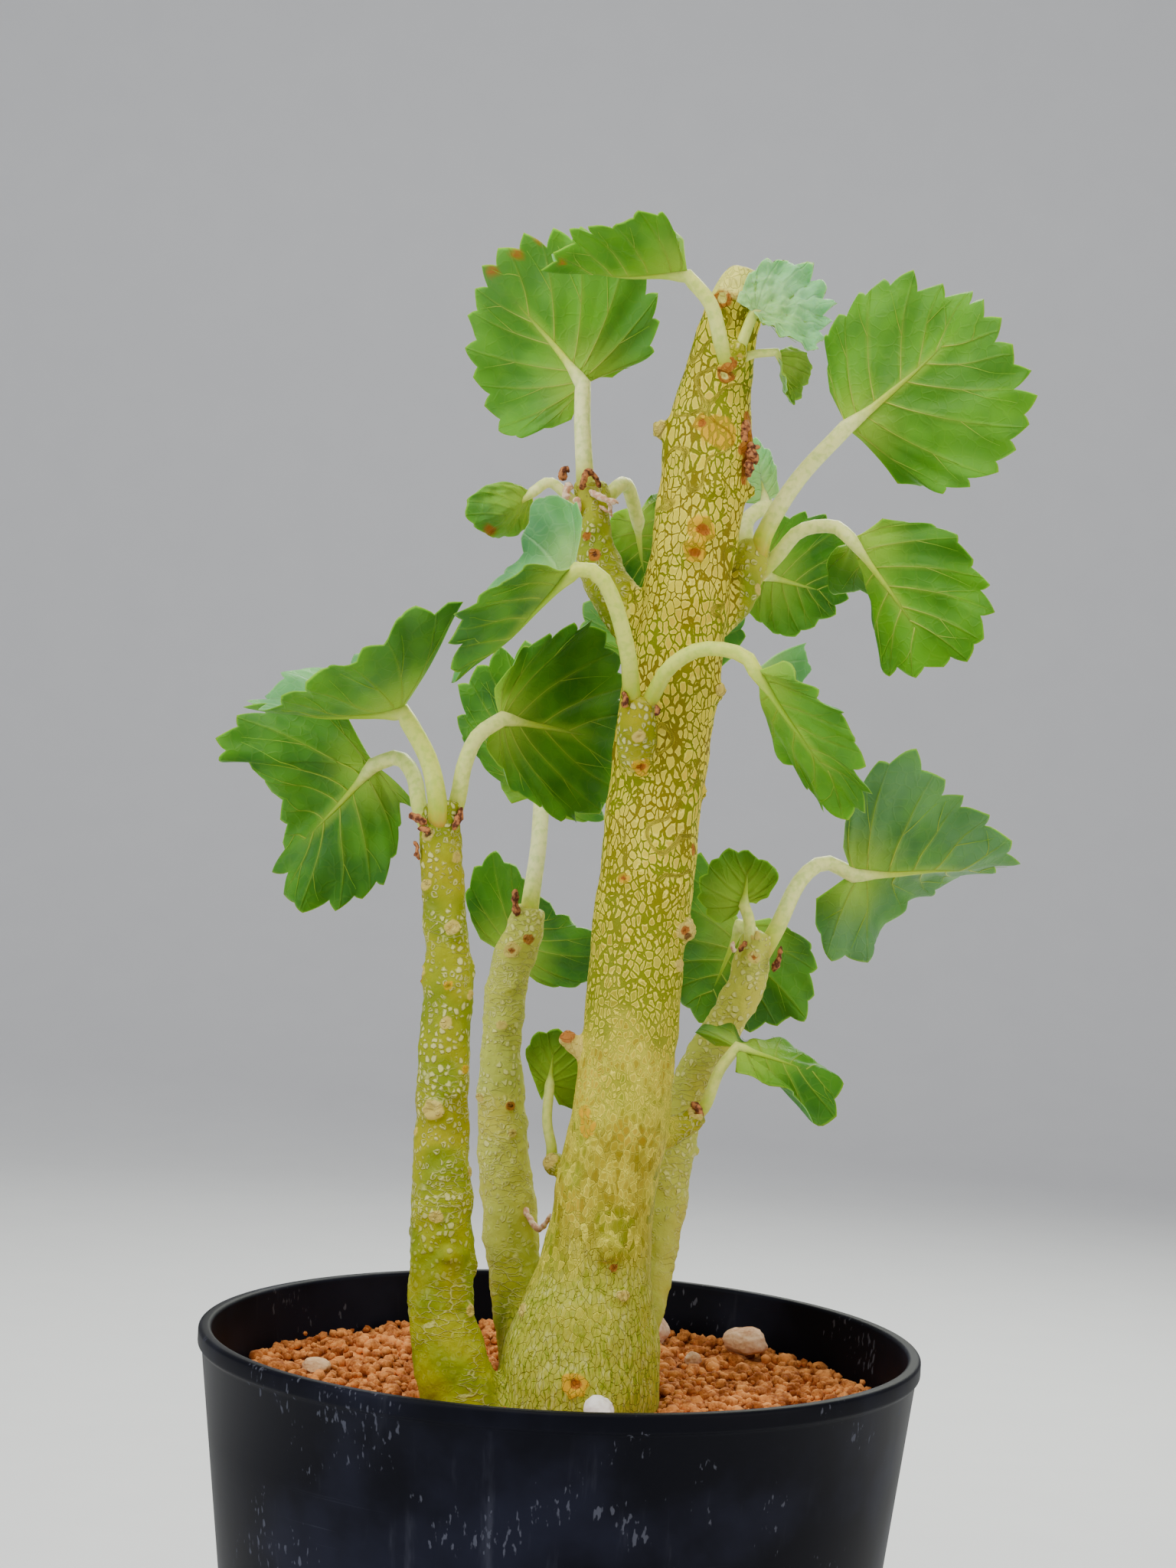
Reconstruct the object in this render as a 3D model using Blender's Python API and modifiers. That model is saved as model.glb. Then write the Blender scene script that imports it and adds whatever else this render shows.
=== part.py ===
"""Potted dorstenia: a fat-stemmed succulent with toothed fan leaves, in a plain nursery pot.

Metres, +Z up. The origin is the centre of the pot's underside, and the front is at -Y.
Lengths in this file are millimetres, which MM turns into metres.
"""
import math
import random
from dataclasses import dataclass

import bmesh
import bpy
from mathutils import Vector, noise

MM = 0.001
CLEAR = 0.3                     # gap kept between pieces that touch
SMOOTH_ANGLE = 40.0             # degrees; a sharper edge is shaded as an edge

# Pot: a 12 cm round pot
POT_HEIGHT = 110.0
RIM_RADIUS = 60.0               # outside of the lip bead
BODY_TOP_RADIUS = 58.7          # outside of the wall, just below the bead
BASE_RADIUS = 46.5
WALL = 1.5
FLOOR = 2.2
LIP_HEIGHT = 3.2
LIP_STEP = 0.7                  # height of the slope under the bead
LIP_ROUND = 0.7
BASE_ROUND = 1.6
POT_SIDES = 40
DRAIN_HOLES = 6
DRAIN_RADIUS = 4.5
DRAIN_CIRCLE = 28.0
DRAIN_TURN = 5.0                # degrees the ring of holes is turned from +X
DRAIN_SIDES = 12

# Soil: a level bed of baked clay grains with a crumbly top
SOIL_TOP = 99.5
SOIL_RISE = 1.8                 # how much higher it lies at the back
SOIL_SWELL = 1.2                # height of its long low waves
SOIL_WAVE = 20.0                # their length
GRAIN_RELIEF = 0.9
GRAIN_WAVE = 2.2
GRAIN_SPACING = 4.9
HEADROOM = 8.0                  # the soil is cut down from a plug this much higher

# Stones
STONE_UNEVEN = 0.16             # of a stone's width
STONE_LUMPS = 1.3               # lumps across half a stone

# Leaves
BLADE = 0.7                     # thickness of a leaf blade
ROWS = (0.36, 0.72)             # rings of the blade, as shares of each rib
TOOTH_HEIGHT = 0.075            # of the rib's length
TOOTH_LEAN = 0.62               # where a tooth peaks, as a share of its width
RIB_TAPER = ((0.2, 0.72), (0.4, 0.5), (0.62, 0.0))  # (share of the midrib, share of the girth)
RIB_TIP_RADIUS = 0.3
RIB_DROP = 0.5                  # how far the midrib's axis lies under the blade, in radii
STALK_STEPS = 7
STALK_FLARE = 1.2               # the stalk widens where it leaves the stem

# Stems: the bevel resolution of their curves, where n gives 4 + 2 n sides
SIDES_TRUNK = 4
SIDES_WIDE = 3
SIDES_SLIM = 2
SIDES_STALK = 1
SMALL_KNOB = 1.4                # a knob of a smaller radius is a coarser ball
SPAN_STEPS = 12                 # samples between two points when a length is measured


@dataclass(frozen=True)
class Leaf:
    """One leaf.

    stalk: points along the leaf's stalk, from inside the stem to the blade.
    margin: points round the blade's edge, clockwise when seen from the underside.
    tip: which margin point the midrib ends at.
    teeth: how many teeth the edge has.
    girth: radius of the stalk.
    arch: how far the blade's middle bulges, towards its upper side if positive.
    """
    name: str
    stalk: tuple
    margin: tuple
    tip: int
    teeth: int
    girth: float
    arch: float


LEAVES = (
    Leaf("leaf_branch_upright", ((-2.6, 8, 249), (-3.2, 8, 254), (-4, 8, 262), (-4, 10, 269)),
         ((-6, 13, 263), (-17, 17, 261), (-23, 18, 274), (-21, 12, 287), (-10, 8, 293),
          (2, 8, 292), (7, 10, 282), (6, 12, 274), (1, 12, 270)), 3, 20, 1.4, 1.0),
    Leaf("leaf_branch_folded", ((-2.6, 7, 246.5), (-6, 6, 249.8), (-9, 5.2, 251.8), (-12, 4, 250)),
         ((-11, 7, 246), (-14, 7, 243), (-17, 4, 242), (-20, -1, 243), (-22, -3, 245),
          (-22, -3, 248), (-18, 0, 251), (-14, 3, 251)), 3, 9, 0.9, -0.6),
    Leaf("leaf_branch_hanging", ((-1.8, 8.8, 246.5), (1.6, 9.6, 251), (4, 13, 252.5), (6, 17, 247)),
         ((9, 23, 252), (13, 28, 252), (16, 31, 246), (14, 31, 238), (9, 29, 234),
          (4, 26, 236), (1, 23, 241), (1, 21, 246), (4, 19, 249)), 4, 15, 1.2, 0.8),
    Leaf("leaf_crown_drooping", ((19.9, -6, 270.5), (18, -8.2, 275), (16, -9, 281), (12, -9, 286)),
         ((10, -4, 289), (7, 0, 291), (1, 0, 291), (-7, -4, 289), (-10, -11, 286),
          (-6, -16, 290), (1, -18, 292), (7, -17, 294), (11, -13, 290)), 4, 15, 1.2, -0.8),
    Leaf("leaf_crown_crinkled", ((20.8, -7.3, 273), (22, -8, 277), (23, -9, 280)),
         ((23, -10, 279), (27, -12, 277), (32, -12, 274), (34, -10, 277), (35, -7, 282),
          (31, -5, 288), (26, -5, 289), (22, -7, 286), (20, -9, 281)), 4, 13, 0.9, 0.5),
    Leaf("leaf_crown_curled", ((20.3, -6, 271.5), (23, -5.6, 273.5), (27, -6, 274)),
         ((30, -3, 276), (33, -3, 273), (32, -5, 269), (30, -8, 266), (28, -9.5, 270)), 3, 6, 0.7, -0.3),
    Leaf("leaf_side_large", ((26.3, 8, 240), (27.6, 7.2, 245.5), (33, 12, 255), (41, 15, 264)),
         ((37.5, 19, 271), (38, 22, 281), (46, 21, 290), (57, 18, 288), (62, 14, 285),
          (69, 9, 273), (69, 9, 265), (62, 12, 256), (50, 17, 255)), 4, 19, 1.4, 1.0),
    Leaf("leaf_side_drooping", ((25.6, 8.6, 237), (29.8, 8.8, 241.5), (33.5, 9, 246), (39, 8, 247), (42, 6, 245)),
         ((47, 5.5, 248.5), (57, 3, 247), (64, 0, 237), (63, 0, 229), (57, 2, 225),
          (48, 8, 224), (46, 13, 236), (40, 18, 236), (40, 14, 244)), 4, 17, 1.2, 0.8),
    Leaf("leaf_side_shaded", ((23.2, 6.5, 232.5), (24.2, 11, 236), (25, 18, 239.3), (28, 24, 239)),
         ((30, 29, 249), (36, 31, 250), (42, 32, 248), (44, 32, 242), (43, 31, 236),
          (38, 30, 231), (32, 29, 229), (26, 27, 233)), 4, 13, 1.2, 0.6),
    Leaf("leaf_side_pale", ((25.6, 9.8, 239.5), (24.6, 12.2, 244.5), (25, 16, 248), (28, 18, 251)),
         ((30, 18, 252), (30, 20, 254), (29, 23, 259), (26, 25, 262), (22, 27, 262),
          (19, 27, 258), (20, 25, 253), (25, 21, 251)), 3, 9, 1.3, 0.4),
    Leaf("leaf_front_left", ((7.3, -8.5, 214), (6.2, -11.5, 218), (5.5, -14.5, 223), (3, -17, 231),
                             (0, -18, 236), (-4, -18, 237)),
         ((-3, -13, 245), (-5, -10, 248), (-9, -8, 248), (-12, -8, 242), (-15, -9, 236),
          (-18, -12, 228), (-21, -19, 218), (-22, -22, 224), (-19, -26, 231), (-14, -26, 235),
          (-8, -24, 236)), 6, 16, 1.3, -0.6),
    Leaf("leaf_front_right", ((8, -8.5, 214), (10, -11.5, 217.5), (12, -15, 221.5), (16, -18, 224.5),
                              (20, -20, 225), (24, -21, 224), (26, -22, 222)),
         ((29, -27, 223), (33, -30, 220), (38, -30, 217), (41, -29, 211), (43, -27, 206),
          (43, -24, 201), (38, -18, 201), (31, -14, 209), (33, -13, 220), (35, -12, 223),
          (33, -15, 227)), 5, 15, 1.2, -0.8),
    Leaf("leaf_left_funnel", ((-24.2, -6.2, 193.5), (-24.6, -7, 198.5), (-26.5, -6, 205), (-31, -5, 213)),
         ((-31, 6, 221), (-36, 12, 222), (-44, 9, 219), (-51, 3, 217), (-55, -8, 211),
          (-45, -17, 216), (-37, -19, 221), (-29, -18, 227), (-22, -14, 231)), 4, 17, 1.5, -1.0),
    Leaf("leaf_left_wide", ((-24, -4.4, 190.5), (-27.4, -2.4, 196), (-29, 2, 201.5), (-32, 5.5, 204.5),
                            (-36, 8, 203)),
         ((-28, 6, 196), (-32, 9, 196), (-32, 12, 190), (-35, 13, 183), (-41, 14, 179),
          (-48, 16, 179), (-52, 18, 185), (-51, 16, 194), (-55, 13, 200), (-62, 11, 203),
          (-58, 12, 210), (-51, 13, 213), (-42, 12, 212)), 6, 19, 1.3, 0.8),
    Leaf("leaf_left_inner", ((-22.8, -4.2, 193), (-21.3, -3.6, 198.5), (-20.5, -4.2, 204),
                             (-18.5, -4, 209), (-15, -2, 212)),
         ((-16, -2, 217), (-12, 0, 223), (-5, 5, 227), (0, 11, 228), (4, 15, 221),
          (6, 17, 209), (4, 14, 200), (-2, 7, 196), (-10, 0, 199), (-14, -3, 204),
          (-17, -4, 207)), 5, 18, 1.3, 0.8),
    Leaf("leaf_rear_tall", ((-9, 16, 176), (-8.8, 16.3, 181), (-8, 20, 190), (-8, 27, 199)),
         ((-13, 30, 197), (-19, 32, 204), (-23, 33, 211), (-21, 34, 219), (-12, 35, 224),
          (-5, 36, 222), (2, 36, 213), (4, 35, 203), (3, 33, 195), (-4, 30, 195)), 4, 17, 1.4, 0.8),
    Leaf("leaf_rear_low", ((-9.5, 16, 176.5), (-9.5, 20, 177.5), (-11, 24, 174), (-12, 28, 170)),
         ((-17.5, 28.5, 173), (-20, 29, 180), (-17, 31, 187), (-12, 34, 185), (-6, 37, 179),
          (3, 38, 173), (2, 36, 167), (-2, 33, 165), (-7, 30, 166)), 4, 13, 1.1, 0.6),
    Leaf("leaf_trunk_rear", ((12.5, 6, 212), (12.6, 12, 214), (12.5, 21, 220), (12, 30, 224)),
         ((2, 33, 222), (-2, 35, 230), (3, 37, 238), (12, 38, 242), (21, 37, 238),
          (26, 35, 230), (22, 33, 222)), 3, 13, 1.1, 0.6),
    Leaf("leaf_sprout", ((-3, 4, 137.5), (-3, 4, 140.5), (-4, 4, 145), (-4, 5, 151)),
         ((-5, 6, 148), (-7, 4, 153), (-8, 3, 156), (-7, 3, 159), (-3, 4, 160),
          (1, 6, 157), (2, 8, 151), (1, 9, 147), (-2, 8, 147)), 4, 9, 0.85, 0.4),
    Leaf("leaf_right_small", ((29.4, 19, 174), (28.9, 18.6, 179), (28, 20, 182)),
         ((27, 21, 180), (23, 20, 179), (20, 18, 184), (23, 17, 190), (28, 16, 191),
          (33, 16, 188), (32, 18, 184), (30, 20, 182)), 4, 10, 1.0, 0.4),
    Leaf("leaf_right_wide", ((30.6, 20.4, 172), (33.8, 21, 178), (37.5, 25, 186), (42, 28, 189.5), (47, 29, 188)),
         ((45, 27, 192), (46, 22, 202), (53, 19, 208), (59, 20, 206), (63, 24, 202),
          (70, 30, 197), (75, 36, 191), (70, 42, 188), (63, 44, 185), (57, 40, 182),
          (51, 32, 174), (43, 29, 174), (41, 29, 183)), 6, 17, 1.35, -0.8),
    Leaf("leaf_right_rear", ((30, 21, 172), (30, 24.5, 176.5), (28, 28, 178)),
         ((33, 28, 179), (39, 29, 176), (41, 30, 171), (40, 31, 163), (36, 31, 162),
          (30, 32, 160), (22, 33, 161), (16, 36, 168), (16, 36, 182), (20, 34, 190)), 6, 15, 1.2, 0.6),
    Leaf("leaf_low_forked", ((20.5, 1.5, 147), (22.4, 1.4, 149.5), (24.2, 1.2, 155), (27, 2, 159)),
         ((23.5, 5.5, 159), (20, 9, 161), (25, 13, 162), (29, 15, 159), (33, 11, 160),
          (39, 6, 158), (44, 2, 154), (41, -1, 148), (35, -3, 153), (27, -2, 156)), 6, 12, 0.95, -0.4),
)


@dataclass(frozen=True)
class Stem:
    """A round stem: points along its middle as (x, y, z, radius), and how finely it is made."""
    points: tuple
    steps: int
    sides: int


STEMS = (
    # trunk, from the root stock hidden in the soil up to the cut top
    Stem(((4, -2, 66, 5), (3.6, -3, 84, 11), (3.4, -4, 100, 13.4), (4.2, -4, 112, 12.2),
          (5.4, -4, 122, 9.4), (6.4, -4, 136, 8.3), (8.2, -4, 148, 8.2), (9.2, -2.5, 166, 7.9),
          (10.4, -1.5, 188, 7.9), (11.9, 0, 207, 7.9), (13.2, 0, 222, 8.0), (14.8, 0, 236, 7.2),
          (16.3, 0, 249, 7.3), (16.9, -0.5, 260, 7.2), (17.8, -1, 268.5, 5.8),
          (19.4, -1.5, 278, 5.0), (20.8, -2, 284, 4.2), (21.6, -2, 287.6, 2.9)), 26, SIDES_TRUNK),
    # left stem
    Stem(((0, -4, 84, 6), (-11, -7, 94, 7), (-17.2, -8, 104, 6.4), (-19.5, -7, 114.5, 5.4),
          (-20, -6, 124, 5.3), (-20.6, -6, 133, 4.9), (-21.2, -5, 145, 4.4), (-21.4, -5, 158, 4.1),
          (-21.3, -5, 169, 4.1), (-22.3, -5, 177, 3.6), (-23.6, -5, 188, 3.6),
          (-24, -5, 197.3, 2.8)), 17, SIDES_WIDE),
    # rear left stem
    Stem(((-1, 0, 96, 6), (-5, 4, 106, 5.5), (-8, 9, 117, 4.4), (-9.4, 12, 125, 4.7),
          (-11.6, 15, 141, 4.3), (-12.4, 16, 151, 3.9), (-12.6, 16, 159, 3.4), (-12, 16, 167, 3.7),
          (-9.8, 16, 175.5, 3.4), (-8.7, 16, 179.5, 2.6)), 15, SIDES_WIDE),
    # right stem
    Stem(((9, 2, 98, 6), (11.5, 7, 107, 4.8), (14.3, 12, 117, 4.2), (16.4, 16, 129.5, 3.9),
          (18.3, 19, 142, 3.8), (22.1, 20, 154, 3.6), (26.7, 20, 163, 3.4), (29.2, 20, 169.6, 3.3),
          (30.5, 20, 177, 2.7)), 14, SIDES_WIDE),
    # upper left branch
    Stem(((12, 0, 224, 4.6), (7.2, 2, 228.8, 4.4), (2.5, 4, 234, 4.0), (-0.5, 6, 240, 3.7),
          (-1.5, 7, 245, 3.5), (-2.2, 8, 251.8, 2.9)), 9, SIDES_SLIM),
    # spurs that carry leaves: side, front, crown, low right, left sprout, trunk rear
    Stem(((18, 2, 228, 3.2), (22.4, 4, 233, 3.4), (24.4, 6.5, 237, 3.0), (26.3, 9, 243, 2.8)), 5, SIDES_SLIM),
    Stem(((9, -4, 203, 2.8), (7.8, -7.5, 208, 3.4), (7.6, -9, 213, 3.3), (7.8, -9.8, 216.6, 2.6)), 5, SIDES_SLIM),
    Stem(((19.3, -3, 268, 1.8), (20.1, -5.5, 271, 2.2), (20.6, -7.5, 275.2, 1.7)), 4, SIDES_SLIM),
    Stem(((12, -1, 143, 2.6), (17.5, 0.5, 145.2, 2.5), (21.6, 1.8, 147.8, 1.8)), 4, SIDES_SLIM),
    Stem(((3, 0, 136.5, 1.6), (-0.5, 2.4, 136.9, 1.8), (-3, 4, 138, 1.9)), 4, SIDES_SLIM),
    Stem(((12.3, 3, 211, 2.6), (12.6, 10, 213.4, 2.0)), 3, SIDES_SLIM),
    # dried stub on the trunk's left, and the sap scar on its right
    Stem(((3, -4, 157.5, 1.9), (-0.6, -4, 159.2, 1.7), (-2.1, -4, 160.4, 1.3)), 4, SIDES_SLIM),
    Stem(((22.4, -2.6, 253.5, 1.2), (23, -3, 258.5, 1.7), (22.2, -3, 263.5, 1.1)), 4, SIDES_SLIM),
)

# Old leaf bases that stand out as knobs: (x, y, z, radius)
KNOBS = (
    (17.0, -4.0, 178.7, 2.3), (9.2, -0.8, 261.0, 1.9), (23.8, -0.5, 251.7, 1.5),
    (20.0, -2.0, 218.5, 1.7), (19.1, 0.0, 201.5, 1.0), (18.6, -6.6, 251.5, 1.5),
    (15.2, -6.6, 242.5, 1.4), (10.8, -8.1, 205.5, 1.3), (7.2, -12.6, 126.8, 1.6),
    (-18.9, -8.4, 150.5, 1.2), (-20.5, -8.2, 176.5, 1.3), (-22.4, -8.0, 189.5, 1.1),
    (-19.1, -11.0, 124.0, 1.2), (-11.0, 12.8, 166.5, 1.3), (29.0, 17.4, 171.5, 1.2),
)


@dataclass(frozen=True)
class Stone:
    """A pebble on the soil: where its middle is, its three widths, and its random seed."""
    name: str
    place: tuple
    widths: tuple
    seed: int


STONES = (
    Stone("stone_white_front", (7.0, -22.5, 101.9), (7.4, 5.0, 6.0), 3),
    Stone("stone_beige_large", (33.0, 36.0, 103.2), (8.2, 6.6, 5.4), 5),
    Stone("stone_pale_rear", (16.0, 45.0, 102.9), (8.6, 6.0, 6.0), 8),
    Stone("stone_beige_flat", (-41.0, 9.0, 100.6), (7.0, 5.0, 3.0), 11),
    Stone("stone_small", (23.5, 29.0, 101.0), (3.2, 2.8, 2.6), 14),
)

# Colours are linear, as (red, green, blue, roughness)
FINISHES = {
    "pot": (0.012, 0.013, 0.018, 0.55),
    "soil": (0.42, 0.16, 0.05, 0.95),
    "stone": (0.72, 0.58, 0.42, 0.8),
    "bark": (0.45, 0.42, 0.09, 0.7),
    "leaf": (0.13, 0.30, 0.03, 0.5),
}


def clear_scene():
    """Remove the scene's objects."""
    for obj in list(bpy.data.objects):
        bpy.data.objects.remove(obj)


def make_collection(name):
    """Add a collection to the scene and return it."""
    group = bpy.data.collections.new(name)
    bpy.context.scene.collection.children.link(group)
    return group


def make_material(name):
    """Return the material of that name, a plain Principled surface."""
    found = bpy.data.materials.get(name)
    if found:
        return found
    red, green, blue, roughness = FINISHES[name]
    material = bpy.data.materials.new(name)
    material.use_nodes = True
    shader = material.node_tree.nodes["Principled BSDF"]
    shader.inputs["Base Color"].default_value = (red, green, blue, 1.0)
    shader.inputs["Roughness"].default_value = roughness
    shader.inputs["Metallic"].default_value = 0.0
    return material


def add_object(name, mesh, group):
    """Put a mesh in a collection as a named object."""
    obj = bpy.data.objects.new(name, mesh)
    group.objects.link(obj)
    return obj


def evaluated_mesh(obj):
    """Return a new mesh of the object with its modifiers applied."""
    depsgraph = bpy.context.evaluated_depsgraph_get()
    return bpy.data.meshes.new_from_object(obj.evaluated_get(depsgraph))


def settle(obj):
    """Apply the object's modifiers to its mesh."""
    old = obj.data
    mesh = evaluated_mesh(obj)
    obj.modifiers.clear()
    obj.data = mesh
    if old.users == 0:
        bpy.data.meshes.remove(old)


def combine(obj, operation, other, solver="EXACT"):
    """Cut or join the object with another object or with a whole collection."""
    modifier = obj.modifiers.new(operation.lower(), "BOOLEAN")
    modifier.operation = operation
    modifier.solver = solver
    if isinstance(other, bpy.types.Collection):
        modifier.operand_type = "COLLECTION"
        modifier.collection = other
    else:
        modifier.object = other
    settle(obj)


def discard(obj):
    """Remove an object that was only a tool, and its mesh."""
    mesh = obj.data
    bpy.data.objects.remove(obj)
    bpy.data.meshes.remove(mesh)


def hide_tool(obj):
    """Mark an object as a cutter."""
    obj.hide_render = True
    obj.display_type = "WIRE"


def spline_point(points, share):
    """Point of a smooth curve through the points, where share runs from 0 to len(points) - 1."""
    index = min(int(share), len(points) - 2)
    t = share - index
    start, end = points[index], points[index + 1]
    before = points[index - 1] if index > 0 else start * 2 - end
    after = points[index + 2] if index + 2 < len(points) else end * 2 - start
    bend = (end - before) * t
    sag = (before * 2 - start * 5 + end * 4 - after) * t ** 2
    twist = (start * 3 - before - end * 3 + after) * t ** 3
    return (start * 2 + bend + sag + twist) * 0.5


def measured_curve(points):
    """Return samples of the curve through the points and the length up to each one."""
    spans = len(points) - 1
    samples = [spline_point(points, i / SPAN_STEPS) for i in range(spans * SPAN_STEPS + 1)]
    lengths = [0.0]
    for a, b in zip(samples, samples[1:]):
        lengths.append(lengths[-1] + (b.xyz - a.xyz).length)
    return samples, lengths


def curve_at(samples, lengths, shares):
    """Points at the given shares of the curve's length."""
    found = []
    index = 0
    for share in shares:
        wanted = share * lengths[-1]
        while index < len(lengths) - 2 and lengths[index + 1] < wanted:
            index += 1
        span = lengths[index + 1] - lengths[index]
        t = (wanted - lengths[index]) / span if span else 0.0
        found.append(samples[index].lerp(samples[index + 1], t))
    return found


def tube(name, stations, group, resolution):
    """Round tube through (x, y, z, radius) stations, as a closed mesh object."""
    curve = bpy.data.curves.new(name, "CURVE")
    curve.dimensions = "3D"
    curve.bevel_depth = MM
    curve.bevel_resolution = resolution
    curve.use_fill_caps = True
    spline = curve.splines.new("POLY")
    spline.points.add(len(stations) - 1)
    for point, station in zip(spline.points, stations):
        point.co = (station[0] * MM, station[1] * MM, station[2] * MM, 1.0)
        point.radius = station[3]
    wire = bpy.data.objects.new(name, curve)
    group.objects.link(wire)
    bpy.context.view_layer.update()
    mesh = evaluated_mesh(wire)
    weld(mesh)
    place = wire.matrix_world.copy()
    bpy.data.objects.remove(wire)
    bpy.data.curves.remove(curve)
    obj = bpy.data.objects.new(name, mesh)
    obj.matrix_world = place
    group.objects.link(obj)
    return obj


def weld(mesh):
    """Merge a mesh's doubled points."""
    shape = bmesh.new()
    shape.from_mesh(mesh)
    bmesh.ops.remove_doubles(shape, verts=shape.verts, dist=0.00001)
    shape.to_mesh(mesh)
    shape.free()


def lathe(name, profile, group, sides):
    """Turn an (x, z) profile about Z; it runs down the outside, top to bottom."""
    mesh = bpy.data.meshes.new(name)
    points = [(x * MM, 0.0, z * MM) for x, z in profile]
    edges = [(i, i + 1) for i in range(len(points) - 1)]
    mesh.from_pydata(points, edges, [])
    obj = bpy.data.objects.new(name, mesh)
    group.objects.link(obj)
    screw = obj.modifiers.new("turn", "SCREW")
    screw.steps = sides
    screw.render_steps = sides
    screw.use_merge_vertices = True
    screw.merge_threshold = 0.00001
    settle(obj)
    return obj


def arc(centre_x, centre_z, radius, start, end, steps):
    """Points of an arc in the profile's plane, angles in degrees."""
    angles = (math.radians(start + (end - start) * i / steps) for i in range(steps + 1))
    return [(centre_x + radius * math.cos(a), centre_z + radius * math.sin(a)) for a in angles]


def wall_radius(height):
    """Outer radius of the pot's wall at a height, below the bead."""
    lip_foot = POT_HEIGHT - LIP_HEIGHT - LIP_STEP
    return BASE_RADIUS + (BODY_TOP_RADIUS - BASE_RADIUS) * height / lip_foot


def pot_profile():
    """The pot's section: lip bead, wall, rounded foot, floor, and the inner wall back up."""
    bead_foot = POT_HEIGHT - LIP_HEIGHT
    inner_top = wall_radius(bead_foot - LIP_STEP) - WALL
    lip_in = inner_top + LIP_ROUND
    lip_out = RIM_RADIUS - LIP_ROUND
    profile = [(0.0, FLOOR)]
    profile += [(wall_radius(FLOOR) - WALL, FLOOR)]
    profile += [(inner_top, bead_foot - LIP_STEP)]
    profile += arc(lip_in, POT_HEIGHT - LIP_ROUND, LIP_ROUND, 180.0, 90.0, 2)
    profile += arc(lip_out, POT_HEIGHT - LIP_ROUND, LIP_ROUND, 90.0, 0.0, 2)
    profile += arc(lip_out, bead_foot + LIP_ROUND, LIP_ROUND, 0.0, -60.0, 2)
    profile += [(wall_radius(bead_foot - LIP_STEP), bead_foot - LIP_STEP)]
    profile += arc(BASE_RADIUS - BASE_ROUND, BASE_ROUND, BASE_ROUND, 0.0, -90.0, 2)
    profile += [(0.0, 0.0)]
    return profile


def make_pot(parts, tools):
    """The pot, with a ring of drainage holes."""
    pot = lathe("pot", pot_profile(), parts, POT_SIDES)
    for i in range(DRAIN_HOLES):
        angle = math.tau * i / DRAIN_HOLES + math.radians(DRAIN_TURN)
        shape = bmesh.new()
        bmesh.ops.create_cone(shape, cap_ends=True, segments=DRAIN_SIDES, radius1=DRAIN_RADIUS * MM,
                              radius2=DRAIN_RADIUS * MM, depth=4 * FLOOR * MM)
        mesh = bpy.data.meshes.new("drain")
        shape.to_mesh(mesh)
        shape.free()
        drill = add_object("drain", mesh, tools)
        drill.location = (DRAIN_CIRCLE * math.cos(angle) * MM, DRAIN_CIRCLE * math.sin(angle) * MM, 0.0)
        hide_tool(drill)
        bpy.context.view_layer.update()
        combine(pot, "DIFFERENCE", drill)
        discard(drill)
    return pot


def make_caudex(name, parts, tools, swell):
    """The plant's fused body: root stock, trunk, stems, spurs and knobs, swell wider all round."""
    pieces = []
    for number, stem in enumerate(STEMS):
        samples, lengths = measured_curve([Vector(p) for p in stem.points])
        shares = [i / (stem.steps - 1) for i in range(stem.steps)]
        stations = [list(p) for p in curve_at(samples, lengths, shares)]
        first, last = Vector(stations[0][:3]), Vector(stations[-1][:3])
        stations[0][:3] = first + (first - Vector(stations[1][:3])).normalized() * swell
        stations[-1][:3] = last + (last - Vector(stations[-2][:3])).normalized() * swell
        for station in stations:
            station[3] += swell
        pieces.append(tube(f"{name}_stem_{number}", stations, tools, stem.sides))
    for number, (x, y, z, radius) in enumerate(KNOBS):
        shape = bmesh.new()
        fineness = 1 if radius < SMALL_KNOB else 2
        bmesh.ops.create_icosphere(shape, subdivisions=fineness, radius=(radius + swell) * MM)
        bmesh.ops.translate(shape, verts=shape.verts, vec=Vector((x, y, z)) * MM)
        mesh = bpy.data.meshes.new(f"{name}_knob_{number}")
        shape.to_mesh(mesh)
        shape.free()
        pieces.append(add_object(mesh.name, mesh, tools))
    joined = make_collection(f"{name}_pieces")
    for piece in pieces[1:]:
        joined.objects.link(piece)
    body = add_object(name, pieces[0].data.copy(), parts)
    combine(body, "UNION", joined)
    for piece in pieces:
        discard(piece)
    bpy.data.collections.remove(joined)
    return body


def tooth_shares(tip_share, teeth):
    """Where the teeth peak and where the notches lie, as shares of the edge's length.

    The middle tooth peaks at the midrib's end and the others lean towards it.
    """
    left = max(1, round(teeth * tip_share - 0.5))
    right = max(1, teeth - 1 - left)
    left_step = tip_share / (left + 0.5)
    right_step = (1.0 - tip_share) / (right + 0.5)
    peaks = [(k + TOOTH_LEAN) * left_step for k in range(left)] + [tip_share]
    peaks += [1.0 - (k + TOOTH_LEAN) * right_step for k in reversed(range(right))]
    notches = [(k + 1) * left_step for k in range(left)]
    notches += [1.0 - (k + 1) * right_step for k in reversed(range(right))]
    return peaks, notches


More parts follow.
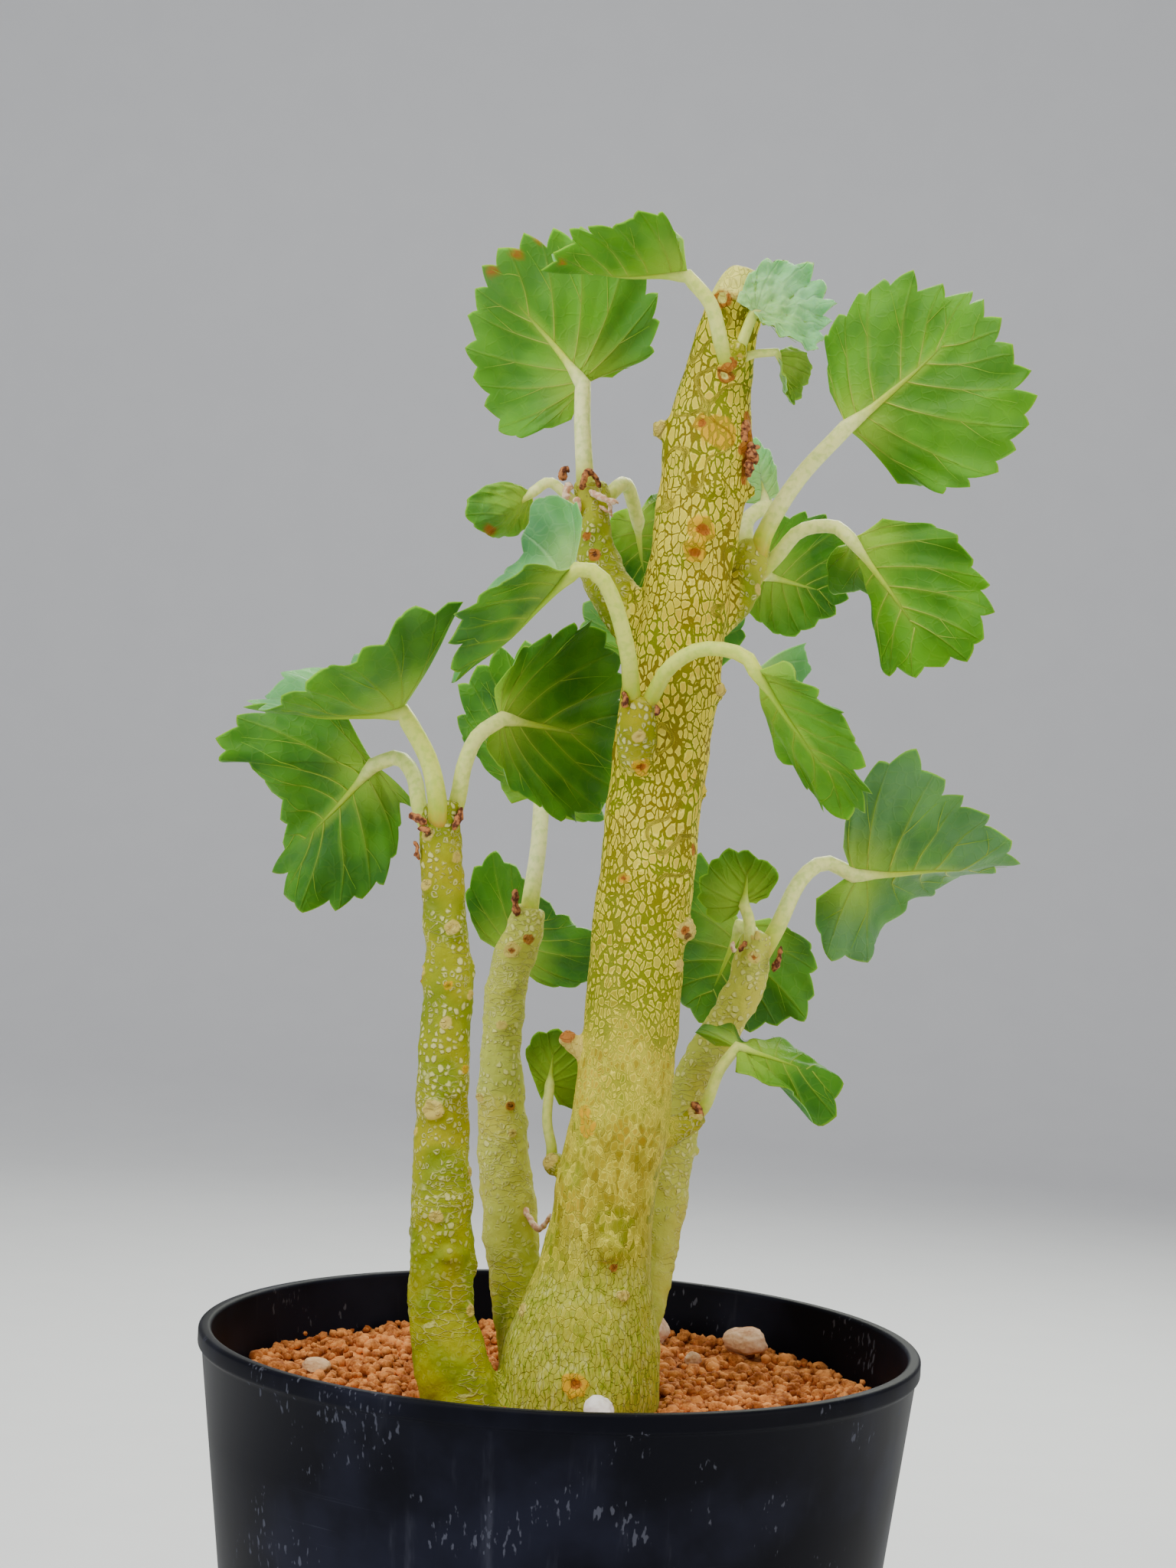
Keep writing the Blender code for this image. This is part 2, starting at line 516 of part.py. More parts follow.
def make_blade(leaf, draw):
    """The blade as an open sheet: ribs fan out from its base to a toothed edge."""
    base = Vector(leaf.stalk[-1])
    samples, lengths = measured_curve([Vector(p) for p in leaf.margin])
    tip_share = lengths[leaf.tip * SPAN_STEPS] / lengths[-1]
    peaks, notches = tooth_shares(tip_share, leaf.teeth)
    columns = [0.0] + peaks + [1.0]
    ends = curve_at(samples, lengths, columns)
    dips = curve_at(samples, lengths, notches)
    ups = rib_normals(base, ends)
    shape = bmesh.new()
    centre = shape.verts.new(base * MM)
    rings = []
    for share in ROWS:
        lift = 4.0 * share * (1.0 - share) * leaf.arch
        rings.append([shape.verts.new((base.lerp(end, share) + up * lift) * MM)
                      for end, up in zip(ends, ups)])
    heights = [0.0] + [TOOTH_HEIGHT * draw.uniform(0.6, 1.3) for _ in peaks] + [0.0]
    edge = [shape.verts.new((end + (end - base) * height) * MM) for end, height in zip(ends, heights)]
    low = [shape.verts.new(dip * MM) for dip in dips]
    last = len(columns) - 2
    for k in range(last + 1):
        shape.faces.new((centre, rings[0][k], rings[0][k + 1]))
        for inner, outer in zip(rings, rings[1:]):
            shape.faces.new((inner[k], outer[k], outer[k + 1]))
            shape.faces.new((inner[k], outer[k + 1], inner[k + 1]))
        ring = rings[-1]
        if k in (0, last):
            shape.faces.new((ring[k], edge[k], edge[k + 1]))
            shape.faces.new((ring[k], edge[k + 1], ring[k + 1]))
        else:
            shape.faces.new((ring[k], edge[k], low[k - 1]))
            shape.faces.new((ring[k], low[k - 1], ring[k + 1]))
            shape.faces.new((ring[k + 1], low[k - 1], edge[k + 1]))
    mesh = bpy.data.meshes.new(leaf.name)
    shape.to_mesh(mesh)
    shape.free()
    middle = len(peaks[:peaks.index(tip_share)]) + 1
    return mesh, base, ends[middle], ups[middle]


def rib_normals(base, ends):
    """Direction of the upper side at each rib."""
    ups = []
    for k, end in enumerate(ends):
        before = ends[max(k - 1, 0)]
        after = ends[min(k + 1, len(ends) - 1)]
        ups.append((before - base).cross(after - base).normalized())
    return ups


def stalk_stations(leaf, base, tip, up):
    """Stations of the stalk and of the midrib that carries it on under the blade."""
    points = [Vector(p) for p in leaf.stalk]
    points[-1] = base - up * leaf.girth * RIB_DROP
    samples, lengths = measured_curve(points)
    shares = [i / STALK_STEPS for i in range(STALK_STEPS + 1)]
    stations = []
    for share, point in zip(shares, curve_at(samples, lengths, shares)):
        radius = leaf.girth * (1.0 + (STALK_FLARE - 1.0) * (1.0 - share) ** 3)
        stations.append((*point, radius))
    for share, thinning in RIB_TAPER:
        radius = max(leaf.girth * thinning, RIB_TIP_RADIUS)
        drop = radius * RIB_DROP if thinning else 0.0
        lift = rib_lift(share) * leaf.arch - drop
        stations.append((*(base.lerp(tip, share) + up * lift), radius))
    return stations


def rib_lift(share):
    """How far the flat-faced blade rises at a share of a rib, for an arch of one."""
    inner, outer = ROWS
    rise = [4.0 * row * (1.0 - row) for row in ROWS]
    if share <= inner:
        return rise[0] * share / inner
    return rise[0] + (rise[1] - rise[0]) * (share - inner) / (outer - inner)


def make_leaf(leaf, number, parts, tools, clearance):
    """One leaf: a toothed blade fused to its stalk, cut clear of the stem it grows from."""
    mesh, base, tip, up = make_blade(leaf, random.Random(number))
    blade = add_object(leaf.name, mesh, parts)
    solid = blade.modifiers.new("thickness", "SOLIDIFY")
    solid.thickness = BLADE * MM
    solid.offset = 0.0
    settle(blade)
    stalk = tube("stalk", stalk_stations(leaf, base, tip, up), tools, SIDES_STALK)
    # the exact solver drops some blades, whose ribs all meet in one point
    combine(blade, "UNION", stalk, "MANIFOLD")
    discard(stalk)
    combine(blade, "DIFFERENCE", clearance, "MANIFOLD")
    return blade


def make_stone(stone, group, swell):
    """A pebble: a ball with uneven sides, swell wider all round."""
    draw = random.Random(stone.seed)
    shift = Vector((draw.uniform(0, 50), draw.uniform(0, 50), draw.uniform(0, 50)))
    turn = draw.uniform(0.0, math.pi)
    shape = bmesh.new()
    bmesh.ops.create_icosphere(shape, subdivisions=2, radius=1.0)
    for vert in shape.verts:
        uneven = 1.0 + STONE_UNEVEN * noise.noise(vert.co * STONE_LUMPS + shift)
        x, y, z = (c * uneven * (w / 2.0 + swell) for c, w in zip(vert.co, stone.widths))
        spun = (x * math.cos(turn) - y * math.sin(turn), x * math.sin(turn) + y * math.cos(turn), z)
        vert.co = (Vector(spun) + Vector(stone.place)) * MM
    mesh = bpy.data.meshes.new(stone.name)
    shape.to_mesh(mesh)
    shape.free()
    return add_object(stone.name, mesh, group)


def soil_height(x, y):
    """Height of the soil's surface, rising to the back and crumbly all over."""
    swell = noise.noise(Vector((x / SOIL_WAVE, y / SOIL_WAVE, 4.0))) * SOIL_SWELL
    crumbs = noise.noise(Vector((x / GRAIN_WAVE, y / GRAIN_WAVE, 9.0))) * GRAIN_RELIEF
    return SOIL_TOP + SOIL_RISE * max(0.0, y) / BODY_TOP_RADIUS + swell + crumbs


def make_soil(parts, tools, clearance):
    """The soil: fills the pot to its wall, with a crumbly top and plain holes for what stands in it."""
    bottom = FLOOR + CLEAR
    above = SOIL_TOP + HEADROOM
    gap = WALL + CLEAR
    plug = lathe("soil", [(0.0, above), (wall_radius(above) - gap, above),
                          (wall_radius(bottom) - gap, bottom), (0.0, bottom)], parts, POT_SIDES)
    cells = round(2.0 * BODY_TOP_RADIUS / GRAIN_SPACING)
    shape = bmesh.new()
    bmesh.ops.create_grid(shape, x_segments=cells, y_segments=cells, size=RIM_RADIUS * MM)
    for vert in shape.verts:
        vert.co.z = soil_height(vert.co.x / MM, vert.co.y / MM) * MM
    bmesh.ops.triangulate(shape, faces=shape.faces)
    grown = bmesh.ops.extrude_face_region(shape, geom=shape.faces[:])
    for item in grown["geom"]:
        if isinstance(item, bmesh.types.BMVert):
            item.co.z = (above + HEADROOM) * MM
    bmesh.ops.recalc_face_normals(shape, faces=shape.faces)
    mesh = bpy.data.meshes.new("air")
    shape.to_mesh(mesh)
    shape.free()
    air = add_object("air", mesh, tools)
    combine(plug, "DIFFERENCE", air)
    discard(air)
    combine(plug, "DIFFERENCE", clearance)
    for stone in STONES:
        hollow = make_stone(stone, tools, CLEAR)
        combine(plug, "DIFFERENCE", hollow)
        discard(hollow)
    return plug


def finish(obj, name):
    """Give an object its material and shade it smooth where its faces meet gently."""
    obj.data.materials.clear()
    obj.data.materials.append(make_material(name))
    obj.data.shade_smooth()
    obj.data.set_sharp_from_angle(angle=math.radians(SMOOTH_ANGLE))


def main():
    """Build the pot, the soil, the stones, the plant's body and its leaves."""
    clear_scene()
    parts = make_collection("potted_dorstenia")
    tools = make_collection("cutters")
    finish(make_pot(parts, tools), "pot")
    finish(make_caudex("caudex", parts, tools, 0.0), "bark")
    clearance = make_caudex("caudex_clearance", tools, tools, CLEAR)
    hide_tool(clearance)
    finish(make_soil(parts, tools, clearance), "soil")
    for stone in STONES:
        finish(make_stone(stone, parts, 0.0), "stone")
    for number, leaf in enumerate(LEAVES):
        finish(make_leaf(leaf, number, parts, tools, clearance), "leaf")


main()
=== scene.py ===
"""Potted dorstenia, dressed: fine leaves, plated bark, baked clay grit and a scuffed pot.

Lengths in this file are millimetres, which MM turns into Blender's metres. The tables of leaves,
stems and stones repeat the part's own, so that each finer piece lies where its plain solid lies.
"""
import bisect
import logging
import math
import random
from dataclasses import dataclass, field
from enum import Enum
from math import cos, radians, sin, tau
from typing import Callable, Sequence

import bmesh
import bpy
from bmesh.types import BMesh, BMVert
from bpy.types import Material, Mesh, Node, NodeSocket, Object
from mathutils import Matrix, Vector
from mathutils.bvhtree import BVHTree
from mathutils.kdtree import KDTree
from mathutils.noise import noise


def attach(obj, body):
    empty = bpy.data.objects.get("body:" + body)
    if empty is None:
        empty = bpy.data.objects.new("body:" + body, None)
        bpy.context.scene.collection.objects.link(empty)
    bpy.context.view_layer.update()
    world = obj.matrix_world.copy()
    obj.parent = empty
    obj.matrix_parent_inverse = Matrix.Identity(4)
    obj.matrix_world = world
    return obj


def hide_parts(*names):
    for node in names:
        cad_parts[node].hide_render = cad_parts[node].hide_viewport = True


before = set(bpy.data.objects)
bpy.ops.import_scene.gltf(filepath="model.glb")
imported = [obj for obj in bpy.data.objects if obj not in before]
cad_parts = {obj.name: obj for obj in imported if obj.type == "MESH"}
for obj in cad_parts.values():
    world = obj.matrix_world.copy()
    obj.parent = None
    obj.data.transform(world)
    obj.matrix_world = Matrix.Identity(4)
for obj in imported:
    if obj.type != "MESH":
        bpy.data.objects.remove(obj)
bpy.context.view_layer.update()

log = logging.getLogger("dorstenia")

MM = 0.001
BODY = "root"
SPAN_STEPS = 12  # samples between two points of a curve
GOLDEN_TURN = 2.39996  # radians between one leaf base and the next up a stem


def srgb(code: str) -> tuple[float, float, float, float]:
    """Turn an sRGB hex colour into the linear values that Blender's sockets hold.

    Args:
        code: six hex digits after a hash sign.

    Returns:
        Linear red, green, blue and an alpha of one.
    """
    shares = [int(code[i:i + 2], 16) / 255.0 for i in (1, 3, 5)]
    red, green, blue = (s / 12.92 if s <= 0.04045 else ((s + 0.055) / 1.055) ** 2.4 for s in shares)
    return (red, green, blue, 1.0)


def smooth_step(low: float, high: float, value: float) -> float:
    """Rise smoothly from 0 at low to 1 at high.

    Args:
        low: where the rise starts; it may be above high, for a fall.
        high: where it ends.
        value: the place to read.

    Returns:
        A share from 0 to 1.
    """
    share = min(1.0, max(0.0, (value - low) / (high - low)))
    return share * share * (3.0 - 2.0 * share)


# Curves

def spline_point(points: Sequence[Vector], share: float) -> Vector:
    """Point of a smooth curve through the points.

    Args:
        points: what the curve goes through.
        share: from 0 at the first point to len(points) - 1 at the last.

    Returns:
        The point there.
    """
    index = min(int(share), len(points) - 2)
    t = share - index
    start, end = points[index], points[index + 1]
    before = points[index - 1] if index > 0 else start * 2 - end
    after = points[index + 2] if index + 2 < len(points) else end * 2 - start
    bend = (end - before) * t
    sag = (before * 2 - start * 5 + end * 4 - after) * t ** 2
    twist = (start * 3 - before - end * 3 + after) * t ** 3
    return (start * 2 + bend + sag + twist) * 0.5


class Route:
    """A smooth curve that is read by the share of its length."""

    def __init__(self, points: Sequence[Sequence[float]]) -> None:
        """Sample the curve.

        Args:
            points: (x, y, z) or (x, y, z, radius) points in millimetres.
        """
        knots = [Vector(p) for p in points]
        steps = (len(knots) - 1) * SPAN_STEPS
        self.samples = [spline_point(knots, i / SPAN_STEPS) for i in range(steps + 1)]
        self.lengths = [0.0]
        for a, b in zip(self.samples, self.samples[1:]):
            self.lengths.append(self.lengths[-1] + (b.xyz - a.xyz).length)

    def at(self, share: float) -> Vector:
        """Point at a share of the length, from 0 to 1."""
        wanted = share * self.lengths[-1]
        index = min(max(bisect.bisect_left(self.lengths, wanted) - 1, 0), len(self.lengths) - 2)
        span = self.lengths[index + 1] - self.lengths[index]
        return self.samples[index].lerp(self.samples[index + 1], (wanted - self.lengths[index]) / span)

    def stations(self, count: int) -> list[Vector]:
        """That many points, evenly spread from end to end."""
        return [self.at(i / (count - 1)) for i in range(count)]


def between(values: Sequence, place: float) -> float | Vector:
    """Read a list at a place between two entries.

    Args:
        values: numbers or vectors.
        place: from 0 to len(values) - 1.

    Returns:
        The mix of the two entries round the place.
    """
    index = min(max(int(place), 0), len(values) - 2)
    share = place - index
    return values[index] * (1.0 - share) + values[index + 1] * share


def place_of(wanted: float, values: Sequence[float]) -> float:
    """Where a rising list reaches a value, from 0 to len(values) - 1."""
    index = min(max(bisect.bisect_left(values, wanted) - 1, 0), len(values) - 2)
    return index + (wanted - values[index]) / (values[index + 1] - values[index])


# Meshes

Place = Callable[[int, int], Vector]


def mapped_grid(shape: BMesh, columns: int, rows: int, place: Place,
                dress: Callable[[dict], None] | None = None) -> list[BMVert]:
    """Add a grid whose points are moved to where a rule puts them, with seams and poles closed.

    Args:
        shape: what the grid is added to.
        columns: faces across.
        rows: faces along.
        place: gives the position in millimetres of the point in a column and row.
        dress: is given {point: (column, row)} before the doubles are merged.

    Returns:
        The grid's points that are left.
    """
    made = bmesh.ops.create_grid(shape, x_segments=columns, y_segments=rows, size=0.5)["verts"]
    spots = {v: (round((v.co.x + 0.5) * columns), round((v.co.y + 0.5) * rows)) for v in made}
    for vert, (column, row) in spots.items():
        vert.co = place(column, row) * MM
    if dress:
        dress(spots)
    bmesh.ops.remove_doubles(shape, verts=made, dist=1e-7)
    return [v for v in made if v.is_valid]


def tube(shape: BMesh, stations: Sequence[tuple[Vector, float]], sides: int,
         material: int = 0, tags: Sequence[float] | None = None) -> None:
    """Add a round tube with closed ends.

    Args:
        shape: what the tube is added to; a float layer "along" on its points takes the tags.
        stations: (middle, radius) pairs along the tube.
        sides: faces round it.
        material: material index of its faces.
        tags: a number for each station.
    """
    middles = [s[0] for s in stations]
    tangents = [(middles[min(i + 1, len(middles) - 1)] - middles[max(i - 1, 0)]).normalized()
                for i in range(len(middles))]
    side = tangents[0].orthogonal().normalized()
    frames = []
    for tangent in tangents:
        side = (side - tangent * side.dot(tangent)).normalized()
        frames.append((side, tangent.cross(side)))
    last = len(stations) - 1

    def place(column: int, row: int) -> Vector:
        """Point on the tube; the first and last rows close to a pole."""
        station = min(max(row - 1, 0), last)
        middle, radius = stations[station]
        if row in (0, last + 2):
            return middle
        angle = tau * column / sides
        first, second = frames[station]
        return middle + (first * cos(angle) + second * sin(angle)) * radius

    def dress(spots: dict) -> None:
        """Give the points their tags and the faces their material."""
        layer = shape.verts.layers.float.get("along")
        for vert, (_, row) in spots.items():
            if tags is not None and layer is not None:
                vert[layer] = tags[min(max(row - 1, 0), last)]
            for face in vert.link_faces:
                face.material_index = material

    mapped_grid(shape, sides, last + 2, place, dress)


def add_object(name: str, data: bpy.types.ID) -> Object:
    """Put a mesh, lamp or camera in the scene as a named object at the origin."""
    obj = bpy.data.objects.new(name, data)
    bpy.context.scene.collection.objects.link(obj)
    return obj


def settled(obj: Object) -> Mesh:
    """Take an object's mesh with its modifiers applied, and remove the object."""
    bpy.context.view_layer.update()
    depsgraph = bpy.context.evaluated_depsgraph_get()
    mesh = bpy.data.meshes.new_from_object(obj.evaluated_get(depsgraph))
    old = obj.data
    bpy.data.objects.remove(obj)
    bpy.data.meshes.remove(old)
    return mesh


def finished(shape: BMesh, name: str, recalc: bool = True) -> Mesh:
    """Turn a bmesh into a smooth-shaded mesh and free it.

    Args:
        shape: the bmesh.
        name: the mesh's name.
        recalc: whether its faces are turned outwards first.

    Returns:
        The mesh.
    """
    if recalc:
        bmesh.ops.recalc_face_normals(shape, faces=shape.faces)
    mesh = bpy.data.meshes.new(name)
    shape.to_mesh(mesh)
    shape.free()
    mesh.shade_smooth()
    return mesh


def deepen(values: list[float], index: int, strength: float) -> None:
    """Raise one of the values to a strength, unless it is higher already."""
    values[index] = max(values[index], strength)


def write_mark(mesh: Mesh, name: str, values: Sequence[float]) -> None:
    """Store a number for each point, which a material reads by its name."""
    mesh.attributes.new(name, "FLOAT", "POINT").data.foreach_set("value", values)


def declare(name: str, mesh: Mesh, materials: Sequence[Material], slot: str,
            *nodes: str) -> Object:
    """Make a finished piece of the part.

    Args:
        name: the piece's name.
        mesh: its mesh.
        materials: in the order of its material indices.
        slot: the record's material slot; not used.
        nodes: the plain solids that it stands for.

    Returns:
        The object.
    """
    obj = add_object(name, mesh)
    for material in materials:
        mesh.materials.append(material)
    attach(obj, BODY)
    if nodes:
        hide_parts(*nodes)
    faces = sum(len(p.vertices) - 2 for p in mesh.polygons)
    log.info("%s: %d triangles", name, faces)
    return obj


# Materials

Value = float | str | Sequence[float] | Node | NodeSocket


class Surface:
    """A material whose nodes are laid out round one Principled shader, on Object coordinates."""

    def __init__(self, name: str) -> None:
        """Start a material of that name."""
        self.material = bpy.data.materials.new(name)
        self.material.use_nodes = True
        self.tree = self.material.node_tree
        self.shader = self.tree.nodes["Principled BSDF"]
        self.place = self.add(("TexCoord", {})).outputs["Object"]

    def add(self, kind: tuple[str, dict], *inputs: Value, **named: Value) -> Node:
        """Add a node with its settings and links.

        Args:
            kind: its type, without the ShaderNode prefix, and its settings; "stops" are the (place, hex
                colour) pairs of a colour ramp.
            inputs: numbers, colours, or nodes or sockets that are linked, in order.
            named: the same, by name.

        Returns:
            The node.
        """
        node = self.tree.nodes.new("ShaderNode" + kind[0])
        for name, value in kind[1].items():
            if name == "stops":
                ramp = node.color_ramp.elements
                while len(ramp) < len(value):
                    ramp.new(1.0)
                for stop, (place, code) in zip(ramp, value):
                    stop.position = place
                    stop.color = srgb(code)
            else:
                setattr(node, name, value)
        self.feed(node, {**dict(enumerate(inputs)), **named})
        return node

    def feed(self, node: Node, inputs: dict[int | str, Value]) -> None:
        """Set or link a node's inputs.

        Args:
            node: the node.
            inputs: what each input gets, by its place among the enabled ones or by its name.
        """
        shown = [socket for socket in node.inputs if socket.enabled]
        named = {socket.name: socket for socket in reversed(shown)}
        for key, value in inputs.items():
            socket = named[key] if isinstance(key, str) else shown[key]
            if isinstance(value, Node):
                value = next(output for output in value.outputs if output.enabled)
            if isinstance(value, NodeSocket):
                self.tree.links.new(value, socket)
            else:
                socket.default_value = srgb(value) if isinstance(value, str) else value


# Kinds of node, each with its settings
NOISE = ("TexNoise", {})
BORDERS = ("TexVoronoi", {"feature": "DISTANCE_TO_EDGE"})
STRETCH = ("Mapping", {})
PARTS = ("SeparateXYZ", {})
BUMP = ("Bump", {})
RANGE = ("MapRange", {})
EASE = ("MapRange", {"interpolation_type": "SMOOTHSTEP"})
BLEND = ("Mix", {"data_type": "RGBA"})
BLEND_VALUES = ("Mix", {"data_type": "FLOAT"})
BLEND_SIZES = ("Mix", {"data_type": "VECTOR"})
SUM = ("Math", {"operation": "ADD"})
PRODUCT = ("Math", {"operation": "MULTIPLY"})
TIMES = ("Math", {"operation": "MULTIPLY", "use_clamp": True})
LARGER = ("Math", {"operation": "MAXIMUM"})
SCALE_ADD = ("Math", {"operation": "MULTIPLY_ADD"})
SCALE_PLACE = ("VectorMath", {"operation": "MULTIPLY"})
SHAKE = ("VectorMath", {"operation": "MULTIPLY_ADD"})


@dataclass(frozen=True)
class LeafFinish:
    """One side of a living leaf: a waxy skin over soft tissue, with a net of veins.

    The eye gets a satin green that glows where light comes through, paler veins that fade towards
    the edge, and a thin pale margin.
    """
    name: str
    painted_lit_green: str  # painted light: the skin's green painted for a leaf in full light
    painted_shade_green: str  # painted shade: the skin's green painted for a leaf in the shade
    vein: str
    bloom: str  # wax that whitens the skin
    base: str  # the pale tissue round the stalk
    bloom_share: float
    vein_share: float
    relief: float  # positive where the veins stand up, in millimetres
    roughness: float
    burnt: str = "#a4601f"

    def veins(self, s: Surface, edge: NodeSocket) -> tuple[Node, Node]:
        """Lay out the masks of the side veins and of the net between them.

        Args:
            s: the material.
            edge: distance to the leaf's edge in millimetres.

        Returns:
            The masks of the side veins and of the net's threads.
        """
        phase, gap = (s.add(("Attribute", {"attribute_name": name})).outputs["Fac"]
                      for name in ("vein_phase", "vein_gap"))
        saw = s.add(("Math", {"operation": "PINGPONG"}), phase, 0.5)
        away = s.add(PRODUCT, saw, gap)
        width = s.add(RANGE, edge, 0, 10, 0.15, 0.7)
        vein = s.add(EASE, away, width, 0)
        shake = s.add(NOISE, s.place, 500, 1)
        bent = s.add(SHAKE, shake.outputs["Color"], (0.0012, 0.0012, 0.0012), s.place)
        cells = s.add(BORDERS, bent, 430)
        net = s.add(EASE, cells, 0.1, 0)
        return vein, net

    def material(self) -> Material:
        """Lay out the material.

        Returns:
            The finished material.
        """
        s = Surface(self.name)
        edge, reach, rib, light, waxy, burn = (
            s.add(("Attribute", {"attribute_name": name})).outputs["Fac"]
            for name in ("edge", "reach", "rib", "tone", "bloom", "burn"))
        vein, net = self.veins(s, edge)
        # green, mottled, painted lighter or darker by each leaf's tone, which is painted light and shade,
        # with wax that lies in clouds
        patch = s.add(NOISE, s.place, 110, 2)
        patch = s.add(EASE, patch, 0.35, 0.65, -0.3, 0.3)
        # painted light and shade: the leaf's tone mixes the painted shade green towards the painted lit
        # green
        share = s.add(("Math", {"operation": "ADD", "use_clamp": True}), patch, light)
        skin = s.add(BLEND, share, self.painted_shade_green, self.painted_lit_green)
        wax = s.add(NOISE, s.place, 70, 3)
        wax = s.add(EASE, wax, 0.35, 0.7, self.bloom_share * 0.4, self.bloom_share)
        wax = s.add(TIMES, wax, waxy)
        skin = s.add(BLEND, wax, skin, self.bloom)
        # veins, the pale foot of the blade and its margin
        fade = s.add(RANGE, edge, 0.5, 14, self.vein_share * 0.35, self.vein_share)
        line = s.add(PRODUCT, vein, fade)
        fine = s.add(("Math", {"operation": "MULTIPLY_ADD", "use_clamp": True}),
                     net, self.vein_share * 0.16, line)
        skin = s.add(BLEND, fine, skin, self.vein)
        shoulder = s.add(EASE, rib, 2, 0.2, 0, 0.45)
        inner = s.add(EASE, edge, 4, 14)
        shoulder = s.add(PRODUCT, shoulder, inner)
        collar = s.add(EASE, reach, 12, 1, 0, 0.6)
        pale = s.add(LARGER, shoulder, collar)
        skin = s.add(BLEND, pale, skin, self.base)
        rim = s.add(EASE, edge, 0.35, 0.05, 0, 0.35)
        skin = s.add(BLEND, rim, skin, self.vein)
        skin = s.add(BLEND, burn, skin, self.burnt)
        # relief
        grain = s.add(NOISE, s.place, 2600, 2)
        height = s.add(SCALE_ADD, net, 0.3, vein)
        height = s.add(SCALE_ADD, grain, 0.2, height)
        bump = s.add(("Bump", {"invert": self.relief < 0}), Strength=0.9,
                     Distance=abs(self.relief) * MM, Height=height)
        s.feed(s.shader, {"Base Color": skin, "Normal": bump, "Roughness": self.roughness,
                          "Subsurface Weight": 0.45, "Subsurface Scale": 0.0007, "Specular IOR Level": 0.12,
                          "Subsurface Radius": (0.55, 1, 0.1)})
        return s.material


@dataclass(frozen=True)
class StalkFinish:
    """A fleshy leaf stalk and the midrib that carries it on, smooth, juicy and nearly white.

    The eye gets a cream rod with faint lengthwise lines, orange where it leaves the stem, that
    greens as it runs out into the blade.
    """
    name: str = "petiole_flesh"
    foot: str = "#c9a02e"
    young: str = "#b4c030"
    cream: str = "#f9fab4"
    lean: str = "#d3de50"
    green: str = "#96c022"
    faded: str = "#64a00a"

    def material(self) -> Material:
        """Lay out the material.

        Returns:
            The finished material.
        """
        s = Surface(self.name)
        along, pallor = (s.add(("Attribute", {"attribute_name": name})).outputs["Fac"]
                         for name in ("along", "pallor"))
        share = s.add(PRODUCT, along, 0.5)
        stops = ((0.02, self.foot), (0.08, self.young), (0.2, self.lean), (0.48, self.lean),
                 (0.6, self.green), (0.85, self.faded))
        lean = s.add(("ValToRGB", {"stops": stops}), share)
        stops = ((0.02, self.foot), (0.08, self.lean), (0.2, self.cream), (0.5, self.cream),
                 (0.62, self.lean), (0.88, self.faded))
        full = s.add(("ValToRGB", {"stops": stops}), share)
        tone = s.add(BLEND, pallor, lean, full)
        mottle = s.add(NOISE, s.place, 900, 2)
        spots = s.add(EASE, mottle, 0.4, 0.7, 0, 0.35)
        skin = s.add(BLEND, spots, tone, self.green)
        lines = s.add(NOISE, s.place, 2200, 1)
        bump = s.add(BUMP, Strength=0.5, Distance=0.00006, Height=lines)
        s.feed(s.shader, {"Base Color": skin, "Normal": bump, "Roughness": 0.4,
                          "Subsurface Weight": 0.4, "Subsurface Scale": 0.0016,
                          "Subsurface Radius": (0.9, 1, 0.1), "Specular IOR Level": 0.28})
        return s.material


class BarkLayout(Surface):
    """A bark material, with what its old and its young skin share.

    young: mark of the young stems.
    parts, rise: the position's parts, and its height in metres, raised in patches.
    patch, tint, heat: soft patches of larger cells, of green and of warmth.
    cells, near, own: distance to a cell's border and to its middle, and the cell's own number.
    cross: strength of the crosswise crackle.
    """

    def __init__(self, name: str) -> None:
        """Lay out one net of cells, in numbers per metre, finer in patches and lower down.

        Args:
            name: the material's name.
        """
        super().__init__(name)
        self.parts = self.add(PARTS, self.place)
        self.young = self.add(("Attribute", {"attribute_name": "young"})).outputs["Fac"]
        shake = self.add(NOISE, self.place, 650, 2)
        self.bent = self.add(SHAKE, shake.outputs["Color"], (0.0009, 0.0009, 0.0013), self.place)
        self.patch, self.tint, self.heat, crazed = (
            self.add(EASE, self.add(NOISE, self.place, scale, 1), low, high)
            for scale, low, high in ((75, 0.49, 0.51), (125, 0.36, 0.64), (80, 0.54, 0.72),
                                     (100, 0.46, 0.60)))
        self.rise = self.add(SCALE_ADD, self.tint, 0.012, self.parts.outputs["Z"])
        size = self.add(BLEND_SIZES, self.patch, (680, 680, 400), (900, 900, 540))
        for height, scale in ((0.194, (960, 960, 600)), (0.168, (1080, 1080, 620))):
            finer = self.add(RANGE, self.rise, height, height - 0.0001)
            size = self.add(BLEND_SIZES, finer, size, scale)
        sprig = self.add(RANGE, self.young, 0.49, 0.5)
        size = self.add(BLEND_SIZES, sprig, size, (880, 880, 860))
        scaled = self.add(SCALE_PLACE, self.bent, size)
        loose = self.add(RANGE, sprig, 0, 1, 1, 0.8)
        net = {"Vector": scaled, "Scale": 1, "Randomness": loose}
        self.cells = self.add(BORDERS, **net)
        self.near = self.add(("TexVoronoi", {"feature": "F1"}), **net)
        self.own = self.add(PARTS, self.near.outputs["Color"]).outputs["X"]
        across = self.add(STRETCH, Vector=self.bent, Scale=(290, 290, 1000))
        across = self.add(BORDERS, across, 1)
        across = self.add(EASE, across, 0.08, 0, 0, 0.65)
        self.cross = self.add(TIMES, across, crazed)


